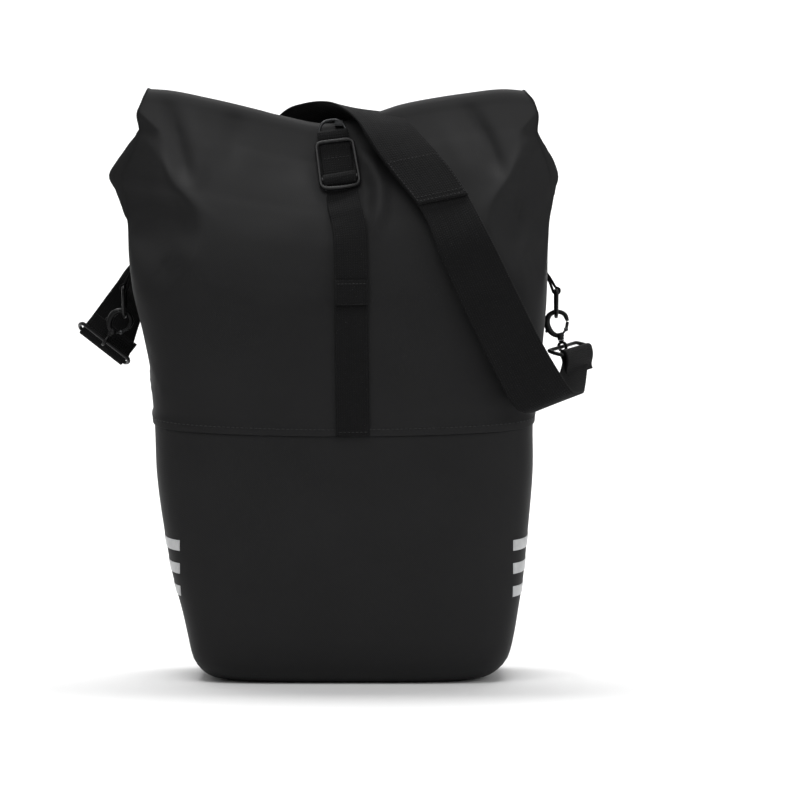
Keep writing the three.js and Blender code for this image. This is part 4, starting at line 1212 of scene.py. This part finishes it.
class Nodes:
    """A short way to build a material's node tree."""

    def __init__(self, name):
        self.material = bpy.data.materials.new(name)
        self.material.use_nodes = True
        self.tree = self.material.node_tree
        self.shader = self.tree.nodes["Principled BSDF"]

    def add(self, kind, inputs=None, **settings):
        node = self.tree.nodes.new(kind)
        for key, value in settings.items():
            setattr(node, key, value)
        for key, value in (inputs or {}).items():
            self.plug(value, node.inputs[key])
        return node

    def plug(self, value, socket):
        if isinstance(value, bpy.types.NodeSocket):
            self.tree.links.new(value, socket)
        else:
            socket.default_value = value

    def set(self, **values):
        for key, value in values.items():
            self.plug(value, self.shader.inputs[key.replace("_", " ")])

    def place(self, kind="Object"):
        return self.add("ShaderNodeTexCoord").outputs[kind]

    def noise(self, vector, scale, detail=3, roughness=0.5):
        return self.add("ShaderNodeTexNoise", {
            "Vector": vector, "Scale": scale, "Detail": detail, "Roughness": roughness,
        }).outputs["Fac"]

    def wave(self, vector, scale, direction):
        return self.add("ShaderNodeTexWave", {"Vector": vector, "Scale": scale},
                        wave_type="BANDS", bands_direction=direction).outputs["Fac"]

    def ramp(self, value, low, high, to_low=0.0, to_high=1.0):
        return self.add("ShaderNodeMapRange", {
            "Value": value, "From Min": low, "From Max": high, "To Min": to_low,
            "To Max": to_high}).outputs["Result"]

    def mix(self, share, low, high):
        node = self.add("ShaderNodeMix", data_type="RGBA")
        self.plug(share, node.inputs["Factor"])
        self.plug((*low, 1), node.inputs["A"])
        self.plug((*high, 1), node.inputs["B"])
        return node.outputs["Result"]

    def math(self, operation, a, b):
        node = self.add("ShaderNodeMath", operation=operation)
        self.plug(a, node.inputs[0])
        self.plug(b, node.inputs[1])
        return node.outputs["Value"]

    def bump(self, height, distance, strength=1.0, below=None):
        inputs = {"Height": height, "Distance": distance, "Strength": strength}
        if below is not None:
            inputs["Normal"] = below
        return self.add("ShaderNodeBump", inputs).outputs["Normal"]


def coated_fabric():
    """Matte coated tarpaulin: a faint weave under a smooth coat, with slow mottling."""
    n = Nodes("coated_fabric")
    at = n.place()
    slow = n.noise(at, 14, 4)
    fine = n.noise(at, 900, 2)
    weave_x = n.wave(at, 330, "DIAGONAL")
    weave_z = n.wave(at, 330, "Z")
    weave = n.math("MULTIPLY", weave_x, weave_z)
    shade = n.ramp(slow, 0.3, 0.7)
    n.set(Base_Color=n.mix(shade, (0.0102, 0.0102, 0.0106), (0.0126, 0.0126, 0.013)),
          Roughness=n.ramp(slow, 0.3, 0.7, 0.56, 0.64))
    n.shader.inputs["Specular IOR Level"].default_value = 0.15
    lower = n.bump(weave, 0.00012, 0.35)
    n.set(Normal=n.bump(fine, 0.0001, 0.35, lower))
    return n.material


def webbing_fabric():
    """Woven tape: fine ribs across, and a zigzag twill between lines along the tape."""
    n = Nodes("webbing")
    dark, light = (0.0036, 0.0036, 0.0038), (0.0108, 0.0108, 0.0113)
    uv = n.place("UV")
    split = n.add("ShaderNodeSeparateXYZ", {"Vector": uv})
    across, along = split.outputs["X"], split.outputs["Y"]
    ribs = n.wave(uv, 118, "Y")
    lines = n.wave(uv, 150, "X")
    zigzag = n.math("PINGPONG", across, 0.004)
    shifted = n.add("ShaderNodeCombineXYZ", {"X": across, "Y": n.math("ADD", along, zigzag)})
    twill = n.wave(shifted.outputs["Vector"], 150, "Y")
    cloth = n.math("MULTIPLY", lines, twill)
    fuzz = n.noise(n.place(), 2600, 2)
    slow = n.noise(n.place(), 30, 3)
    shade = n.math("MULTIPLY", n.math("ADD", cloth, n.math("MULTIPLY", fuzz, 0.5)),
                   n.ramp(slow, 0.3, 0.7, 0.75, 1.1))
    n.set(Base_Color=n.mix(n.ramp(shade, 0.1, 1.1), dark, light), Roughness=0.82)
    n.shader.inputs["Specular IOR Level"].default_value = 0.1
    n.shader.inputs["Sheen Weight"].default_value = 0.03
    n.shader.inputs["Sheen Roughness"].default_value = 0.5
    weave = n.bump(n.math("ADD", cloth, n.math("MULTIPLY", ribs, 0.35)), 0.0004, 0.8)
    n.set(Normal=n.bump(fuzz, 0.00012, 0.5, weave))
    return n.material


def thread_fabric():
    n = Nodes("thread")
    twist = n.wave(n.place(), 900, "DIAGONAL")
    n.set(Base_Color=n.mix(twist, (0.006, 0.006, 0.0062), (0.013, 0.013, 0.0135)), Roughness=0.75,
          Normal=n.bump(twist, 0.0001, 0.6))
    return n.material


def metal(name, base, worn, metallic, specular, roughness=0.3):
    """Painted or plated metal that is lighter on its worn edges and faintly brushed."""
    n = Nodes(name)
    at = n.place()
    edge = n.ramp(n.add("ShaderNodeNewGeometry").outputs["Pointiness"], 0.51, 0.58)
    patchy = n.noise(at, 160, 4)
    wear = n.math("MULTIPLY", edge, n.ramp(patchy, 0.4, 0.65))
    stretched = n.add("ShaderNodeMapping", {"Vector": at, "Scale": (1.0, 1.0, 14.0)})
    brushed = n.noise(stretched.outputs["Vector"], 420, 3)
    n.set(Base_Color=n.mix(wear, base, worn), Metallic=metallic,
          Roughness=n.ramp(n.math("ADD", patchy, brushed), 0.6, 1.4, roughness - 0.06,
                           roughness + 0.08),
          Normal=n.bump(brushed, 0.00006, 0.3))
    n.shader.inputs["Specular IOR Level"].default_value = specular
    return n.material


def plastic():
    """Glass-filled black nylon with a fine moulded grain."""
    n = Nodes("black_plastic")
    at = n.place()
    grain = n.add("ShaderNodeTexVoronoi", {"Vector": at, "Scale": 1500.0}).outputs["Distance"]
    slow = n.noise(at, 40, 3)
    edge = n.ramp(n.add("ShaderNodeNewGeometry").outputs["Pointiness"], 0.5, 0.6)
    n.set(Base_Color=n.mix(n.math("MULTIPLY", edge, slow), (0.0115, 0.0115, 0.012),
                           (0.034, 0.034, 0.035)),
          Roughness=n.ramp(slow, 0.3, 0.7, 0.42, 0.55), Normal=n.bump(grain, 0.00012, 0.4))
    return n.material


def rubber_liner():
    n = Nodes("rubber")
    at = n.place()
    speckle = n.noise(at, 1100, 3)
    n.set(Base_Color=n.mix(speckle, (0.006, 0.006, 0.006), (0.012, 0.012, 0.012)),
          Roughness=0.86, Normal=n.bump(speckle, 0.0001, 0.5))
    return n.material


def reflective_film():
    """Pale retroreflective film: fine cells in a satin skin, with faint scuffs."""
    n = Nodes("reflective")
    at = n.place()
    cells = n.add("ShaderNodeTexVoronoi", {"Vector": at, "Scale": 900.0}).outputs["Distance"]
    scuff = n.noise(at, 90, 5, 0.65)
    n.set(Base_Color=n.mix(n.ramp(scuff, 0.35, 0.7), (0.5, 0.505, 0.51), (0.42, 0.425, 0.43)),
          Roughness=n.ramp(scuff, 0.3, 0.7, 0.38, 0.52), Normal=n.bump(cells, 0.00008, 0.35))
    n.shader.inputs["Specular IOR Level"].default_value = 0.6
    return n.material


def paint_cad_nodes(materials):
    """Give each CAD node the material of its slot in the record."""
    slot_of = {part["node"]: part["material_slot"] for part in frame["record"]["subparts"]}
    for obj in bpy.data.objects:
        if "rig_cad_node" in obj:
            obj.data.materials.clear()
            obj.data.materials.append(materials[slot_of[obj["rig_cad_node"]]])


# ------------------------------------------------------------------ build everything

def main():
    make_camera()
    make_studio()
    fabric = coated_fabric()
    webbing = webbing_fabric()
    thread = thread_fabric()
    black_metal = metal("black_metal", (0.0035, 0.0035, 0.0037), (0.009, 0.009, 0.0095), 0, 0.2)
    steel = metal("steel", (0.02, 0.0205, 0.0215), (0.08, 0.082, 0.085), 0.9, 0.5)
    reflective = reflective_film()
    paint_cad_nodes({
        "coated_fabric": fabric, "webbing": webbing, "black_metal": black_metal, "steel": steel,
        "black_plastic": plastic(), "rubber": rubber_liner(), "reflective": reflective,
    })
    lower = build_lower_shell(fabric)
    body, heights = build_upper_body(fabric)
    lower_tree, upper_tree = tree_of(lower), tree_of(body)
    build_seam_stitches(body, heights, thread)
    build_reflective_strips(lower_tree, reflective)
    build_front_strap(upper_tree, webbing, thread)
    build_buckle(black_metal, steel, webbing, thread)
    build_catch_strap(webbing)
    for name, clip in CLIPS.items():
        build_tab(name, clip, upper_tree, webbing, thread)
        build_clip(name, clip, black_metal, steel)
    build_shoulder_strap(webbing, thread)
    build_handle(webbing, thread)


main()
